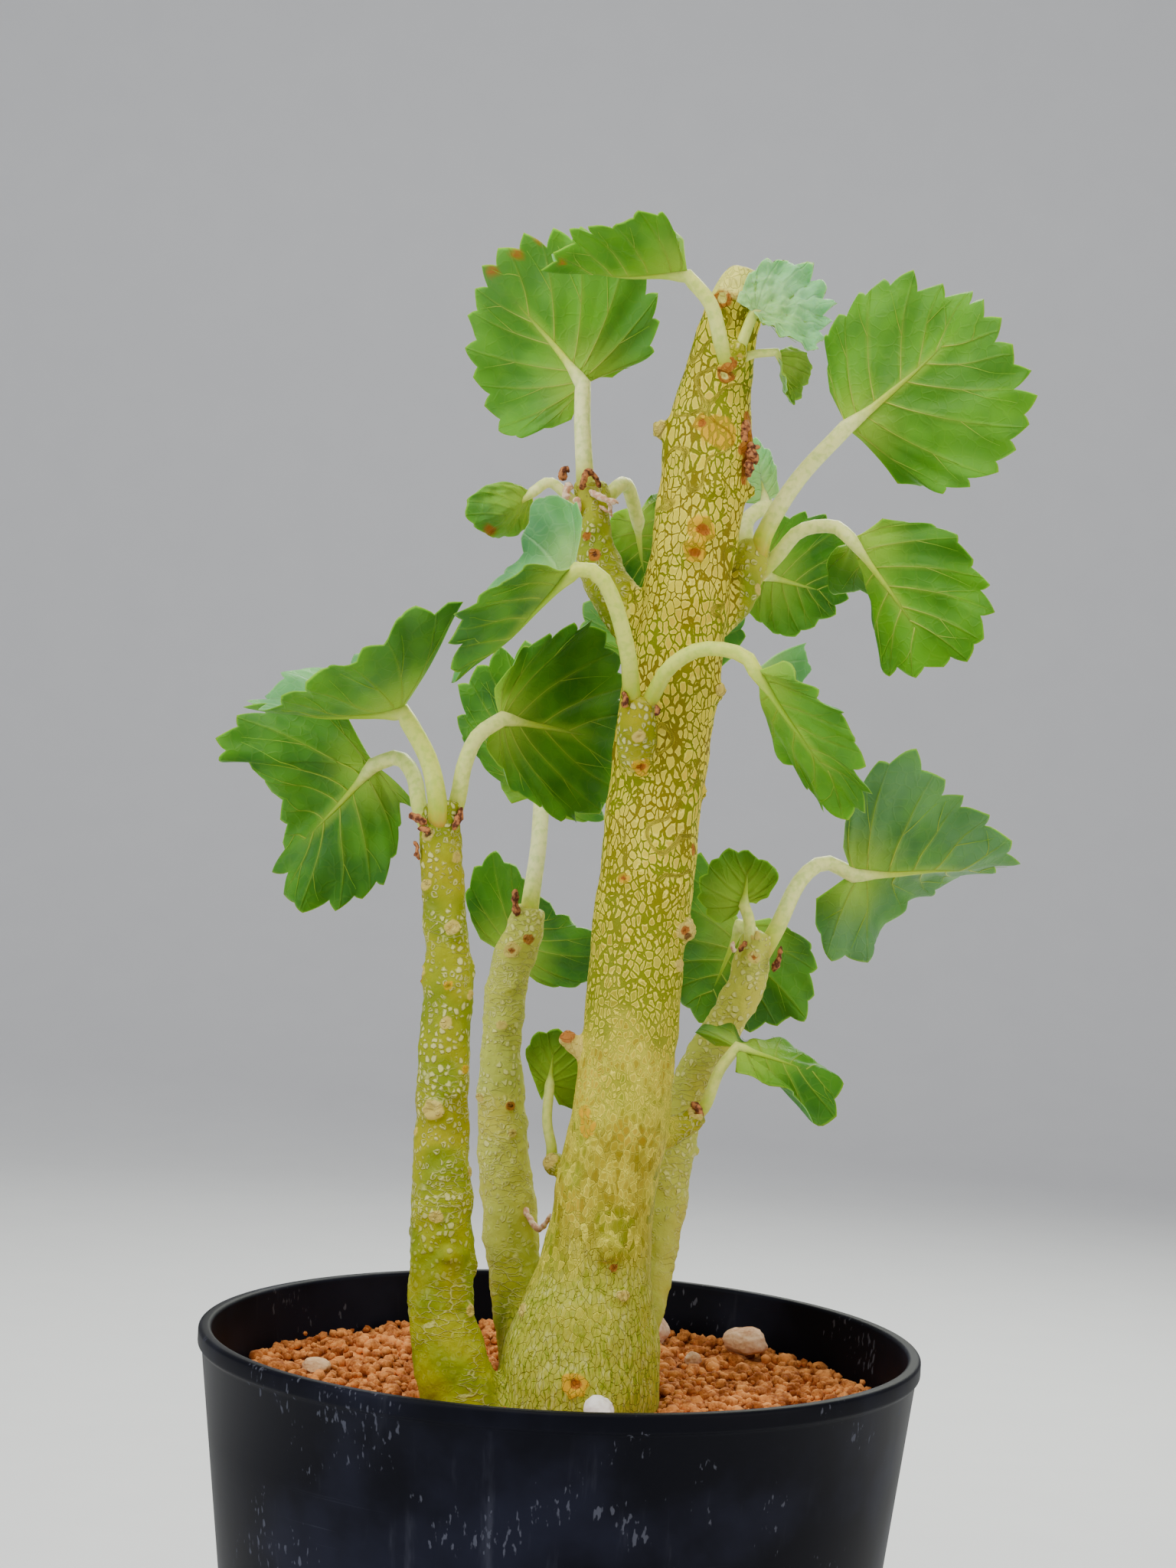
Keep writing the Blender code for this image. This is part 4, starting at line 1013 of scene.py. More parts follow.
@dataclass
class LeafShape:
    """The fine form of one leaf: a toothed, veined blade on a round stalk."""
    leaf: Leaf
    number: int
    tooth_height: float = 0.075  # of the rib's length
    tooth_lean: float = 0.62  # where a tooth peaks, as a share of its width
    tooth_point: float = 0.8  # below 1 a tooth is round and the notch sharp
    notch_depth: float = 0.05  # how far some notches cut in, of the rib's length
    tooth_start: float = 0.72  # share of a rib where the teeth begin to show
    tooth_steps: int = 5  # columns from a notch to a peak
    blade_rows: int = 22
    half_thickness: float = 0.25
    edge_round: float = 0.9  # width over which the edge thins
    quilt: float = 0.55  # how far the blade puffs between its veins
    wave: float = 0.8  # height of the edge's waves
    waves: tuple = ((5.0, 1.0), (11.0, 0.6))  # how many go round it, and their share of that
    sway: float = 1.1  # height of the blade's broad bends
    sway_width: float = 8.0
    common_size: float = 25.0  # rib length at which waves and bends have these heights
    stalk_flare: float = 1.2  # the stalk's foot, against its girth
    stalk_steps: int = 12
    rib_steps: int = 14
    rib_end: float = 0.92  # share of the blade that the midrib runs through
    rib_taper: float = 1.35
    rib_drop: float = 0.5  # how far the midrib's axis lies under the blade, in radii
    vein_radius: float = 0.15
    fork_place: float = 0.5  # share of a side vein at which it forks
    fork_spread: float = 0.075  # how far apart its two ends are, as a share of the edge
    fork_girth: float = 0.55
    vein_bow: float = 0.09  # how far a side vein bends towards the tip, of its length
    fork_bow: float = 0.04
    stalk_sides: int = 14
    vein_sides: int = 6
    columns: list = field(default_factory=list)
    bites: list = field(default_factory=list)

    def __post_init__(self) -> None:
        """Work out the ribs, the teeth and the veins."""
        leaf = self.leaf
        draw = random.Random(self.number)
        self.base = Vector(leaf.stalk[-1])
        self.edge = Route(leaf.margin)
        self.tip_share = self.edge.lengths[leaf.tip * SPAN_STEPS] / self.edge.lengths[-1]
        self.halves = (self.tip_share, 1.0 - self.tip_share)
        self.lay_teeth(draw)
        self.ends = [self.edge.at(share) for share in self.columns]
        self.middle = self.columns.index(self.tip_share)
        self.reaches = [(end - self.base).length for end in self.ends]
        self.ups = self.rib_normals()
        self.turns = self.unrolled_turns()
        self.size = self.reaches[self.middle]
        self.phase_shift = draw.uniform(0.0, tau)
        self.swirl = Vector([draw.uniform(0, 90) for _ in range(3)])
        style = VeinStyle.FAN if leaf.name in FANNED else VeinStyle.FEATHER
        self.veins, self.forks = [], []
        for sign in (-1, 1):
            paths = []
            for origin, end in VEINS[style]:
                jittered = max(0.0, origin + draw.uniform(-0.025, 0.025) + 0.02 * sign)
                stop = end * draw.uniform(0.95, 1.04)
                path, spots = self.vein_path(sign, Vector((jittered * self.size, 0.0)), stop,
                                             self.vein_bow)
                paths.append(path)
                split = spots[round(self.fork_place * draw.uniform(0.8, 1.3) * 10)]
                side = self.fork_spread * draw.choice((-1.0, 1.0, 1.0)) * draw.uniform(0.8, 1.3)
                self.forks.append(self.vein_path(sign, split, min(stop + side, 0.97), self.fork_bow)[0])
            self.veins.append(paths)

    def lay_teeth(self, draw: random.Random) -> None:
        """Fill in the columns, as shares of the edge, and how far the edge stands out at each.

        Args:
            draw: the leaf's own random numbers, read once for each tooth as in the part.
        """
        tip, teeth = self.tip_share, self.leaf.teeth
        left = max(1, round(teeth * tip - 0.5))
        right = max(1, teeth - 1 - left)
        left_step, right_step = tip / (left + 0.5), self.halves[1] / (right + 0.5)
        peaks = [(k + self.tooth_lean) * left_step for k in range(left)] + [tip]
        peaks += [1.0 - (k + self.tooth_lean) * right_step for k in reversed(range(right))]
        notches = [(k + 1) * left_step for k in range(left)]
        notches += [1.0 - (k + 1) * right_step for k in reversed(range(right))]
        size = TOOTHED.get(self.leaf.name, 1.0)
        keys = [(peak, size * self.tooth_height * draw.uniform(0.6, 1.3)) for peak in peaks]
        carve = random.Random(self.number + 500)
        keys += [(notch, size * self.notch_depth * carve.uniform(-1.0, 0.3)) for notch in notches]
        keys = sorted(keys + [(0.0, 0.0), (1.0, 0.0)])
        for (start, low), (stop, high) in zip(keys, keys[1:]):
            for k in range(self.tooth_steps):
                t = k / self.tooth_steps
                rising = low + (high - low) * t ** self.tooth_point
                falling = high + (low - high) * (1.0 - t) ** self.tooth_point
                self.columns.append(start + (stop - start) * t)
                self.bites.append(rising if high > low else falling)
        self.columns.append(1.0)
        self.bites.append(0.0)

    def rib_normals(self) -> list[Vector]:
        """Direction of the upper side at each rib, smoothed from rib to rib.

        Returns:
            A unit vector for each rib.
        """
        spread = 2 * self.tooth_steps
        last = len(self.ends) - 1
        raw = []
        for k in range(last + 1):
            before, after = self.ends[max(k - spread, 0)], self.ends[min(k + spread, last)]
            raw.append((before - self.base).cross(after - self.base).normalized())
        return [sum(raw[max(k - spread, 0):k + spread + 1], Vector()).normalized()
                for k in range(last + 1)]

    def unrolled_turns(self) -> list[float]:
        """Angle of each rib from the midrib when the blade is unrolled flat."""
        ribs = [(end - self.base).normalized() for end in self.ends]
        turns = [0.0]
        for a, b in zip(ribs, ribs[1:]):
            turns.append(turns[-1] + a.angle(b))
        return [turn - turns[self.middle] for turn in turns]

    def vein_path(self, sign: int, start: Vector, end: float, bow: float) -> tuple[list, list]:
        """Course of one side vein.

        Args:
            sign: -1 for the first half of the edge, 1 for the second.
            start: where it starts in the unrolled blade, whose first axis is the midrib.
            end: share of that side's edge, from the tip, that it runs to.
            bow: how far it bends towards the tip, as a share of its length.

        Returns:
            (column, share of the rib) pairs up to the edge, and the same places unrolled.
        """
        reach = self.halves[sign > 0]
        column = place_of(self.tip_share + sign * end * reach, self.columns)
        turn = abs(between(self.turns, column))
        stop = Vector((cos(turn), sin(turn))) * between(self.reaches, column)
        run = stop - start
        bend = (start + stop) / 2 + Vector((-run.y, run.x)) * bow
        path, spots = [], []
        for i in range(11):
            t = i / 10
            spot = start * (1 - t) ** 2 + bend * 2 * t * (1 - t) + stop * t * t
            angle = math.atan2(spot.y, spot.x) % tau
            angle = min(angle, abs(self.turns[0 if sign < 0 else -1]))
            found = place_of(sign * angle, self.turns)
            path.append((found, min(spot.length / between(self.reaches, found), 0.97)))
            spots.append(spot)
        return path, spots

    def surface(self, column: float, share: float) -> tuple[Vector, Vector]:
        """Point of the blade's mid-surface, and the direction of its upper side.

        Args:
            column: rib, between two whole ones.
            share: share of the rib.

        Returns:
            The point, in millimetres, and a unit vector.
        """
        end, up = between(self.ends, column), between(self.ups, column).normalized()
        rib = end - self.base
        grow = max(0.0, (share - self.tooth_start) / (1.0 - self.tooth_start)) ** 1.4
        point = self.base + rib * share * (1.0 + between(self.bites, column) * grow)
        lift = 4.0 * share * (1.0 - share) * self.leaf.arch
        along = between(self.columns, column)
        wave = sum(high * sin(along * tau * many + self.phase_shift * k)
                   for k, (many, high) in enumerate(self.waves, 1))
        scale = self.size / self.common_size
        lift += wave * self.wave * scale * share ** 3
        lift += noise(point / self.sway_width + self.swirl) * self.sway * scale * share
        return point + up * lift, up

    def row_marks(self, share: float) -> list[tuple[list[tuple[float, float]], float]]:
        """For each side, where its veins cross one ring of the blade.

        Args:
            share: the ring, as a share of the ribs.

        Returns:
            Per side, (share of the side's edge from the tip, phase) pairs from the stalk's end to
            the midrib, and the side's length of edge in millimetres.
        """
        found = []
        for side, paths in enumerate(self.veins):
            reach = self.halves[side]
            marks = [(1.0, 0.5)]
            emerged, before, after = 0, 0.0, 1.0
            for number, path in enumerate(paths):
                if path[0][1] >= share:
                    after = path[0][1]
                    break
                k = next((k for k in range(1, len(path)) if path[k][1] >= share), len(path) - 1)
                (c0, r0), (c1, r1) = path[k - 1], path[k]
                t = (share - r0) / (r1 - r0) if r1 > r0 else 1.0
                column = c0 + (c1 - c0) * min(max(t, 0.0), 1.0)
                spot = abs(between(self.columns, column) - self.tip_share) / reach
                marks.append((min(spot, marks[-1][0] - 0.01), number + 1.0))
                emerged, before = number + 1, path[0][1]
            marks.append((min(0.0, marks[-1][0] - 0.01), emerged + (share - before) / (after - before)))
            found.append((marks, reach * self.edge.lengths[-1]))
        return found

    def vein_phase(self, marks: list, side: int, column: int, share: float) -> tuple[float, float]:
        """Place among the side veins, where whole numbers are veins, and millimetres per step.

        Args:
            marks: the ring's marks, from row_marks.
            side: 0 or 1.
            column: the rib.
            share: the ring.

        Returns:
            The phase and the gap.
        """
        spots, length = marks[side]
        reach = self.halves[side]
        spot = abs(self.columns[column] - self.tip_share) / reach
        for (far, low), (near, high) in zip(spots, spots[1:]):
            if spot >= near:
                break
        step = (far - spot) / (far - near)
        gap = (far - near) * length * max(share, 0.04) * 0.8 / max(high - low, 0.05)
        return low + (high - low) * min(max(step, 0.0), 1.0), min(max(gap, 0.3), 12.0)

    def shares(self) -> list[float]:
        """Rings of the blade from its base to its edge, as shares of the ribs."""
        even = [0.95 * (j / (self.blade_rows - 2)) ** 0.93 for j in range(self.blade_rows - 1)]
        return even + [0.98, 1.0]

    def build(self) -> Mesh:
        """Model the leaf.

        Returns:
            A closed mesh: upper skin, lower skin and stalk are materials 0, 1 and 2.
        """
        shape = bmesh.new()
        shape.verts.layers.float.new("along")
        self.add_blade(shape)
        self.add_stalk(shape)
        self.add_veins(shape)
        return finished(shape, self.leaf.name)

    def add_blade(self, shape: BMesh) -> None:
        """Add the blade, as one closed skin over both sides.

        Args:
            shape: the bmesh that it is added to.
        """
        shares = self.shares()
        rings = len(shares) - 1
        last = len(self.columns) - 1
        marks = [self.row_marks(max(share, 0.02)) for share in shares]
        phases = [[[self.vein_phase(marks[ring], side, column, max(share, 0.02))
                    for column in range(last + 1)]
                   for ring, share in enumerate(shares)] for side in (0, 1)]
        skins = [[self.surface(column, share) for column in range(last + 1)] for share in shares]
        phase_layer = shape.loops.layers.float.new("vein_phase")
        gap_layer = shape.loops.layers.float.new("vein_gap")
        layers = {name: shape.verts.layers.float.new(name) for name in ("edge", "reach", "rib")}
        fold, pitch = RUMPLED.get(self.leaf.name, (0.0, 1.0))

        def ring_of(row: int) -> int:
            """Ring of a row: up the upper skin and back down the lower one."""
            return row if row <= rings else 2 * rings - row

        def margin(column: int, share: float) -> float:
            """Distance to the nearest edge of the blade."""
            border = min(column, last - column) * self.edge.lengths[-1] * share / last
            return min((1.0 - share) * self.reaches[column], border)

        def place(column: int, row: int) -> Vector:
            """Position of a point of either skin.

            Args:
                column: which column of the blade.
                row: which row, over both sides.

            Returns:
                The position.
            """
            ring = ring_of(row)
            share = shares[ring]
            point, up = skins[ring][column]
            phase, gap = phases[0 if column <= self.middle else 1][ring][column]
            away = abs(phase - round(phase)) * gap
            off_rib = abs(self.turns[column]) * share * self.reaches[column]
            puff = 1.0 - math.exp(-(min(away, off_rib) / 2.0) ** 2)
            lift = self.quilt * puff * min(1.0, self.size / 18.0) * smooth_step(0.05, 0.3, share)
            fine = noise(point * pitch * 3.0 + self.swirl) * 0.3
            rumple = noise(point * pitch + self.swirl) + fine
            lift += fold * rumple * smooth_step(0.0, 0.5, share)
            thin = min(1.0, math.sqrt(margin(column, share) / self.edge_round))
            lift += self.half_thickness * thin * (1 if row < rings else -1 if row > rings else 0)
            return point + up * lift

        def dress(spots: dict) -> None:
            """Write the distances and the vein phase that the materials read.

            Args:
                spots: the column and row of each point.
            """
            for vert, (column, row) in spots.items():
                ring = ring_of(row)
                vert[layers["edge"]] = margin(column, shares[ring])
                vert[layers["reach"]] = shares[ring] * self.reaches[column]
                vert[layers["rib"]] = min(abs(self.turns[column]), 1.5) * shares[ring] * self.reaches[column]
            faces = {face for vert in spots for face in vert.link_faces}
            for face in faces:
                mean = sum(spots[v][0] for v in face.verts) / len(face.verts)
                height = sum(spots[v][1] for v in face.verts) / len(face.verts)
                face.material_index = 0 if height < rings else 1
                side = 0 if mean < self.middle else 1
                for loop in face.loops:
                    column, row = spots[loop.vert]
                    loop[phase_layer], loop[gap_layer] = phases[side][ring_of(row)][column]

        mapped_grid(shape, last, 2 * rings, place, dress)

    def add_stalk(self, shape: BMesh) -> None:
        """Add the stalk and the midrib that carries it on under the blade.

        Args:
            shape: the bmesh that it is added to.
        """
        girth = self.leaf.girth
        points = [Vector(p) for p in self.leaf.stalk]
        points[-1] = self.base - self.ups[self.middle] * girth * self.rib_drop
        route = Route(points)
        stations, tags = [], []
        for i in range(self.stalk_steps + 1):
            share = i / self.stalk_steps
            flare = 1.0 + (self.stalk_flare - 1.0) * (1.0 - share) ** 3
            stations.append((route.at(share), girth * flare))
            tags.append(share)
        for i in range(1, self.rib_steps + 1):
            share = self.rib_end * i / self.rib_steps
            slim = 1.0 - 0.35 * smooth_step(0.0, 0.2, share)
            radius = max(girth * (1.0 - share) ** self.rib_taper * slim, 0.1)
            point, up = self.surface(self.middle, share)
            stations.append((point - up * radius * self.rib_drop, radius))
            tags.append(1.0 + share)
        tube(shape, stations, self.stalk_sides, 2, tags)

    def add_veins(self, shape: BMesh) -> None:
        """Add the side veins as slender ribs sunk in the underside.

        Args:
            shape: the bmesh that it is added to.
        """
        slim = min(1.0, self.size / 24.0)
        courses = [(path, 1.0) for paths in self.veins for path in paths]
        for path, thick in courses + [(path, self.fork_girth) for path in self.forks]:
            stations, tags = [], []
            for k, (column, share) in enumerate(path[:-2]):
                t = k / (len(path) - 1)
                radius = self.vein_radius * slim * thick * (1.0 - 0.7 * t)
                point, up = self.surface(column, share)
                stations.append((point - up * (self.half_thickness - radius * 0.45), radius))
                tags.append(1.3 + 0.25 * (1.0 - thick) + 0.6 * t)
            tube(shape, stations, self.vein_sides, 2, tags)


# Pixels of the photograph at which teeth are browned
SCORCHED = {
    "leaf_branch_upright": ((643, 355), (675, 333), (705, 310)),
    "leaf_crown_drooping": ((740, 344),),
    "leaf_branch_folded": ((640, 692),),
}


@dataclass
class Foliage:
    """All the leaves, each one a piece that stands for its plain solid."""
    camera: Camera
    # each skin's second and third colours are its green painted in full light and painted in shade
    upper: LeafFinish = LeafFinish("leaf_upper_skin", "#63b052", "#2a6a24", "#b8e4a0", "#90d09c",
                                   "#a3c86c", 0.55, 0.4, -0.16, 0.5)
    lower: LeafFinish = LeafFinish("leaf_lower_skin", "#5c9c00", "#2a6600", "#a2c838", "#a4d8a0",
                                   "#acd03c", 0.2, 0.27, 0.16, 0.46)
    stalk: StalkFinish = StalkFinish()
    scorch_radius: float = 1.5

    def scorch(self, leaf: Leaf, mesh: Mesh) -> None:
        """Mark the points of a leaf that lie at its browned teeth.

        Args:
            leaf: the leaf.
            mesh: its mesh, which gets the marks.
        """
        burn = [0.0] * len(mesh.vertices)
        edge = mesh.attributes["edge"].data
        for u, v in SCORCHED.get(leaf.name, ()):
            eye, way = self.camera.ray(u, v)
            for index, vert in enumerate(mesh.vertices):
                off = (vert.co / MM - eye).cross(way).length
                if off < self.scorch_radius and edge[index].value < 2.0:
                    deepen(burn, index, smooth_step(self.scorch_radius, 0.5, off) * 0.9)
        write_mark(mesh, "burn", burn)

    def build(self) -> None:
        """Model and declare every leaf."""
        materials = [self.upper.material(), self.lower.material(), self.stalk.material()]
        for number, leaf in enumerate(LEAVES):
            mesh = LeafShape(leaf, number).build()
            # the first look, tone, is the leaf's painted light and shade
            for label, value in zip(("tone", "bloom", "pallor"), leaf.looks):
                write_mark(mesh, label, [value] * len(mesh.vertices))
            self.scorch(leaf, mesh)
            declare(f"{leaf.name}_blade", mesh, materials, "leaf", leaf.name)


# The plant's body

class Mark(Enum):
    """Kinds of scar on the bark, by the tint that they take."""
    PALE = "pale"
    RUST = "rust"
    DARK = "dark"
    GOLD = "gold"
    FLESH = "flesh"
    GREEN = "green"


PALE, RUST, DARK, GOLD, FLESH, GREEN = Mark


@dataclass(frozen=True)
class Scar:
    """A leaf scar or wound on the bark.

    u, v: the photograph's pixel at its middle.
    radius: its radius.
    height: how far its rim stands out.
    dent: how far its middle is sunk.
    mark: its tint.
    heart: tint of its middle, if that differs.
    """
    u: float
    v: float
    radius: float
    height: float
    dent: float
    mark: Mark
    heart: Mark | None = None


SCARS = tuple(Scar(*row) for row in (
    (916, 552, 1.7, 0.35, 0.4, GOLD, RUST), (939, 565, 3.2, 0.1, 0, GOLD),
    (915, 692, 2.6, 0.7, 0.2, GOLD, RUST), (906, 722, 2.3, 0.6, 0.2, GOLD, RUST),
    (849, 563, 1.5, 0.3, 0.4, DARK), (948, 489, 1.6, 0.9, 0.2, RUST, FLESH), (955, 474, 1.1, 0.3, 0, RUST),
    (988, 643, 1.4, 0.3, 0, PALE), (968, 585, 1.4, 0.2, 0, RUST), (960, 375, 2.4, 0.3, 0, PALE),
    (945, 393, 1.9, 0.5, 0.4, RUST, FLESH), (835, 960, 1.2, 0.5, 0.2, PALE),
    (837, 1001, 1.7, 0.5, 0.4, GOLD, RUST), (938, 902, 1.2, 0.5, 0.2, PALE), (925, 1035, 0.9, 0.4, 0, GOLD),
    (988, 769, 1.1, 0.4, 0.2, PALE), (815, 1146, 1.2, 0.35, 0.3, GOLD, RUST),
    (893, 1216, 1.8, 0.5, 0.2, PALE, RUST), (898, 1222, 0.8, 0, 0.3, DARK),
    (885, 1259, 1.3, 0.6, 0.1, PALE), (741, 1352, 1.6, 0.3, 0.1, RUST), (766, 1450, 1.3, 0.4, 0.1, GOLD),
    (768, 1472, 1.8, 0.1, 0, GOLD), (795, 1634, 2.2, 0.8, 0, GREEN), (801, 1656, 0.8, 0.3, 0.1, RUST),
    (812, 1693, 1.2, 0.5, 0.1, PALE), (684, 1712, 1.3, 0.6, 0.2, PALE),
    (752, 1808, 2.4, 0.4, 0.3, GOLD, RUST), (905, 1110, 1.0, 0.1, 0, RUST),
    (797, 905, 1.2, 0.4, 0.3, PALE, RUST), (594, 1121, 1.2, 0.4, 0.1, PALE),
    (560, 1090, 1.2, 0.4, 0.4, PALE, DARK), (558, 1153, 1.1, 0.4, 0.1, PALE),
    (591, 1211, 1.4, 0.5, 0.2, PALE), (556, 1266, 1.1, 0.5, 0.3, PALE, RUST),
    (584, 1288, 0.9, 0.4, 0.1, GOLD), (583, 1336, 1.2, 0.3, 0.1, PALE), (612, 1300, 1.0, 0.4, 0.1, PALE),
    (566, 1447, 1.8, 0.6, 0.3, PALE), (606, 1395, 0.9, 0.35, 0, GOLD), (611, 1530, 1.0, 0.4, 0.1, PALE),
    (571, 1588, 1.3, 0.5, 0.2, PALE), (545, 1478, 0.8, 0.35, 0, PALE), (613, 1711, 1.3, 0.5, 0.2, PALE),
    (668, 1241, 1.4, 0.5, 0.2, PALE, RUST), (690, 1225, 1.2, 0.3, 0.1, RUST),
    (655, 1340, 1.0, 0.4, 0.1, PALE), (667, 1446, 1.0, 0.5, 0.1, RUST), (667, 1482, 0.9, 0.5, 0.1, PALE),
    (630, 1434, 1.0, 0.5, 0, PALE), (985, 1220, 1.2, 0.4, 0.2, PALE),
    (983, 1252, 1.3, 0.5, 0.1, PALE, RUST), (765, 700, 0.9, 0.2, 0.2, RUST),
    (776, 725, 1.3, 0.3, 0.3, RUST, DARK), (735, 655, 2.2, 0.3, 0.1, PALE, RUST),
    (908, 1455, 1.4, 0.5, 0.2, PALE), (717, 1516, 1.4, 0.3, 0, PALE),
))


@dataclass
class Caudex:
    """The plant's woody body: trunk, stems and spurs grown into one, with lumps and scars."""
    camera: Camera
    stem_sides: int = 28
    stem_step: float = 1.6  # spacing of a stem's stations
    voxel: float = 0.51  # size of the skin's faces
    soften: int = 10  # rounds of smoothing, which round the forks
    cut_height: float = 92.0  # the body ends here, under the soil
    caps: tuple = ((0.18, 0.8), (0.24, 0.45))  # a stem's rounded end: place and radius, in radii
    # lumps: width, height, and height added on the young stems
    lumps: tuple = ((7.0, 0.45, 0.0), (3.4, 0.15, 0.3))
    crumbs: tuple = (1.2, 2.1, 0.11, 0.1)  # fine ones: width, length, and the same heights
    young_reach: tuple = (0.6, 3.2)  # distance from the trunk in which the skin turns young
    cut_top: tuple = (281.5, 285.0)  # heights between which the trunk's flesh shows
    # in a scar's radii: where its rim stands and how wide that is, how wide its dent is, how far
    # its edge is ragged, and where the tints of the scar and of its heart fade out
    rim_place: float = 0.6
    rim_width: float = 0.42
    dent_width: float = 0.4
    ragged: float = 0.35
    scar_fade: tuple = (1.25, 0.6)
    heart_fade: tuple = (0.62, 0.25)
    rear_seed: int = 41
    rear_step: float = 5.2  # spacing of the unseen leaf scars up a stem
    rear_foot: float = 104.0  # height of the lowest
    finish: BarkFinish = BarkFinish()
    marks: tuple = ("pale", "rust", "dark", "gold", "flesh", "young")
    rim_relief: float = 1.3  # how much a scar's rim stands out, times its height
    crust: float = 0.35  # roughness of the knobs
    crusty_knobs: int = 2  # how many of the first knobs are also pale with it

    def skeleton(self) -> Object:
        """Stems and knobs as overlapping closed tubes and balls.

        Returns:
            The object that holds them.
        """
        shape = bmesh.new()
        for stem in STEMS:
            route = Route(stem)
            count = max(6, round(route.lengths[-1] / self.stem_step))
            stations = [(p.xyz, p.w) for p in route.stations(count)]
            tip, radius = stations[-1]
            way = (tip - stations[-2][0]).normalized()
            stations += [(tip + way * radius * out, radius * share) for out, share in self.caps]
            tube(shape, stations, self.stem_sides)
        for x, y, z, radius in KNOBS:
            ball = bmesh.ops.create_icosphere(shape, subdivisions=3, radius=radius * MM)
            bmesh.ops.translate(shape, verts=ball["verts"], vec=Vector((x, y, z)) * MM)
        return add_object("skeleton", finished(shape, "skeleton"))

    def skin(self) -> Mesh:
        """One closed, even skin round the stems, cut off under the soil.

        Returns:
            The skin's mesh.
        """
        obj = self.skeleton()
        merge = obj.modifiers.new("merge", "REMESH")
        merge.mode = "VOXEL"
        merge.voxel_size = self.voxel * MM
        relax = obj.modifiers.new("relax", "SMOOTH")
        relax.factor = 0.5
        relax.iterations = self.soften
        mesh = settled(obj)
        shape = bmesh.new()
        shape.from_mesh(mesh)
        bpy.data.meshes.remove(mesh)
        whole = shape.verts[:] + shape.edges[:] + shape.faces[:]
        bmesh.ops.bisect_plane(shape, geom=whole, plane_co=(0.0, 0.0, self.cut_height * MM),
                               plane_no=(0.0, 0.0, 1.0), clear_inner=True)
        rim = [e for e in shape.edges if e.is_boundary]
        bmesh.ops.holes_fill(shape, edges=rim)
        return finished(shape, "caudex_skin")

    def hit(self, skin: BVHTree, u: float, v: float) -> Vector | None:
        """Where a pixel's sight line first meets the skin, in millimetres."""
        eye, way = self.camera.ray(u, v)
        found = skin.ray_cast(eye * MM, way)[0]
        return found / MM if found else None

    def rear_scars(self) -> list[tuple[Vector, Scar]]:
        """Leaf scars on the sides that the photograph doesn't show, in a spiral up each stem.

        Returns:
            Pairs of a scar's place on the stem and the scar.
        """
        draw = random.Random(self.rear_seed)
        found = []
        for stem in STEMS[:5]:
            route = Route(stem)
            count = int(route.lengths[-1] / self.rear_step)
            for k in range(count):
                middle = route.at((k + 0.5) / count)
                angle = k * GOLDEN_TURN + draw.uniform(-0.3, 0.3)
                side = Vector((cos(angle), sin(angle), 0.0))
                kind = draw.choice((PALE, PALE, RUST))
                scar = Scar(0, 0, draw.uniform(0.8, 1.5), draw.uniform(0.25, 0.5), 0.2, kind)
                if side.y > 0.15 and middle.z > self.rear_foot:
                    found.append((middle.xyz + side * middle.w, scar))
        return found

    def roughen(self, mesh: Mesh) -> dict[str, list[float]]:
        """Give the skin its lumps and scars.

        Args:
            mesh: the skin, which is changed.

        Returns:
            For each kind of mark, its strength at every point.
        """
        bark = BVHTree.FromPolygons([v.co for v in mesh.vertices], [p.vertices for p in mesh.polygons])
        normals = [Vector(n.vector) for n in mesh.vertex_normals]
        points = [v.co / MM for v in mesh.vertices]
        near = KDTree(len(points))
        for index, point in enumerate(points):
            near.insert(point, index)
        near.balance()
        tint = {name: [0.0] * len(points) for name in self.marks}
        lift = [0.0] * len(points)
        self.tint_by_place(points, tint)
        width, length, high, more = self.crumbs
        for index, point in enumerate(points):
            young = tint["young"][index]
            lift[index] = sum(noise(point / width) * (high + more * young)
                              for width, high, more in self.lumps)
            fine = Vector((point.x / width, point.y / width, point.z / (length - young)))
            lift[index] += noise(fine) * (high + more * young)
        spots = [(self.hit(bark, scar.u, scar.v), scar) for scar in SCARS] + self.rear_scars()
        for spot, scar in spots:
            if spot is None:
                log.info("scar at %d, %d misses the bark", scar.u, scar.v)
                continue
            spot = near.find(spot)[0]
            for point, index, away in near.find_range(spot, scar.radius * 1.9):
                q = away / scar.radius
                wobble = 1.0 + self.ragged * noise(point * 0.8)
                rim = math.exp(-((q * wobble - self.rim_place) / self.rim_width) ** 2)
                dent = math.exp(-(q / self.dent_width) ** 2)
                lift[index] += self.rim_relief * scar.height * rim - scar.dent * dent
                if scar.mark is not GREEN:
                    deepen(tint[scar.mark.value], index, smooth_step(*self.scar_fade, q * wobble))
                if scar.heart:
                    deepen(tint[scar.heart.value], index, smooth_step(*self.heart_fade, q * wobble))
        for number, (x, y, z, radius) in enumerate(KNOBS):
            for point, index, away in near.find_range(Vector((x, y, z)), radius * 1.4):
                worn = smooth_step(radius * 1.4, radius * 0.95, away)
                lift[index] += worn * self.crust * noise(point * 1.9)
                if number < self.crusty_knobs:
                    deepen(tint["pale"], index, 0.7 * worn)
        for vert, normal, rise in zip(mesh.vertices, normals, lift):
            vert.co += normal * rise * MM
        return tint

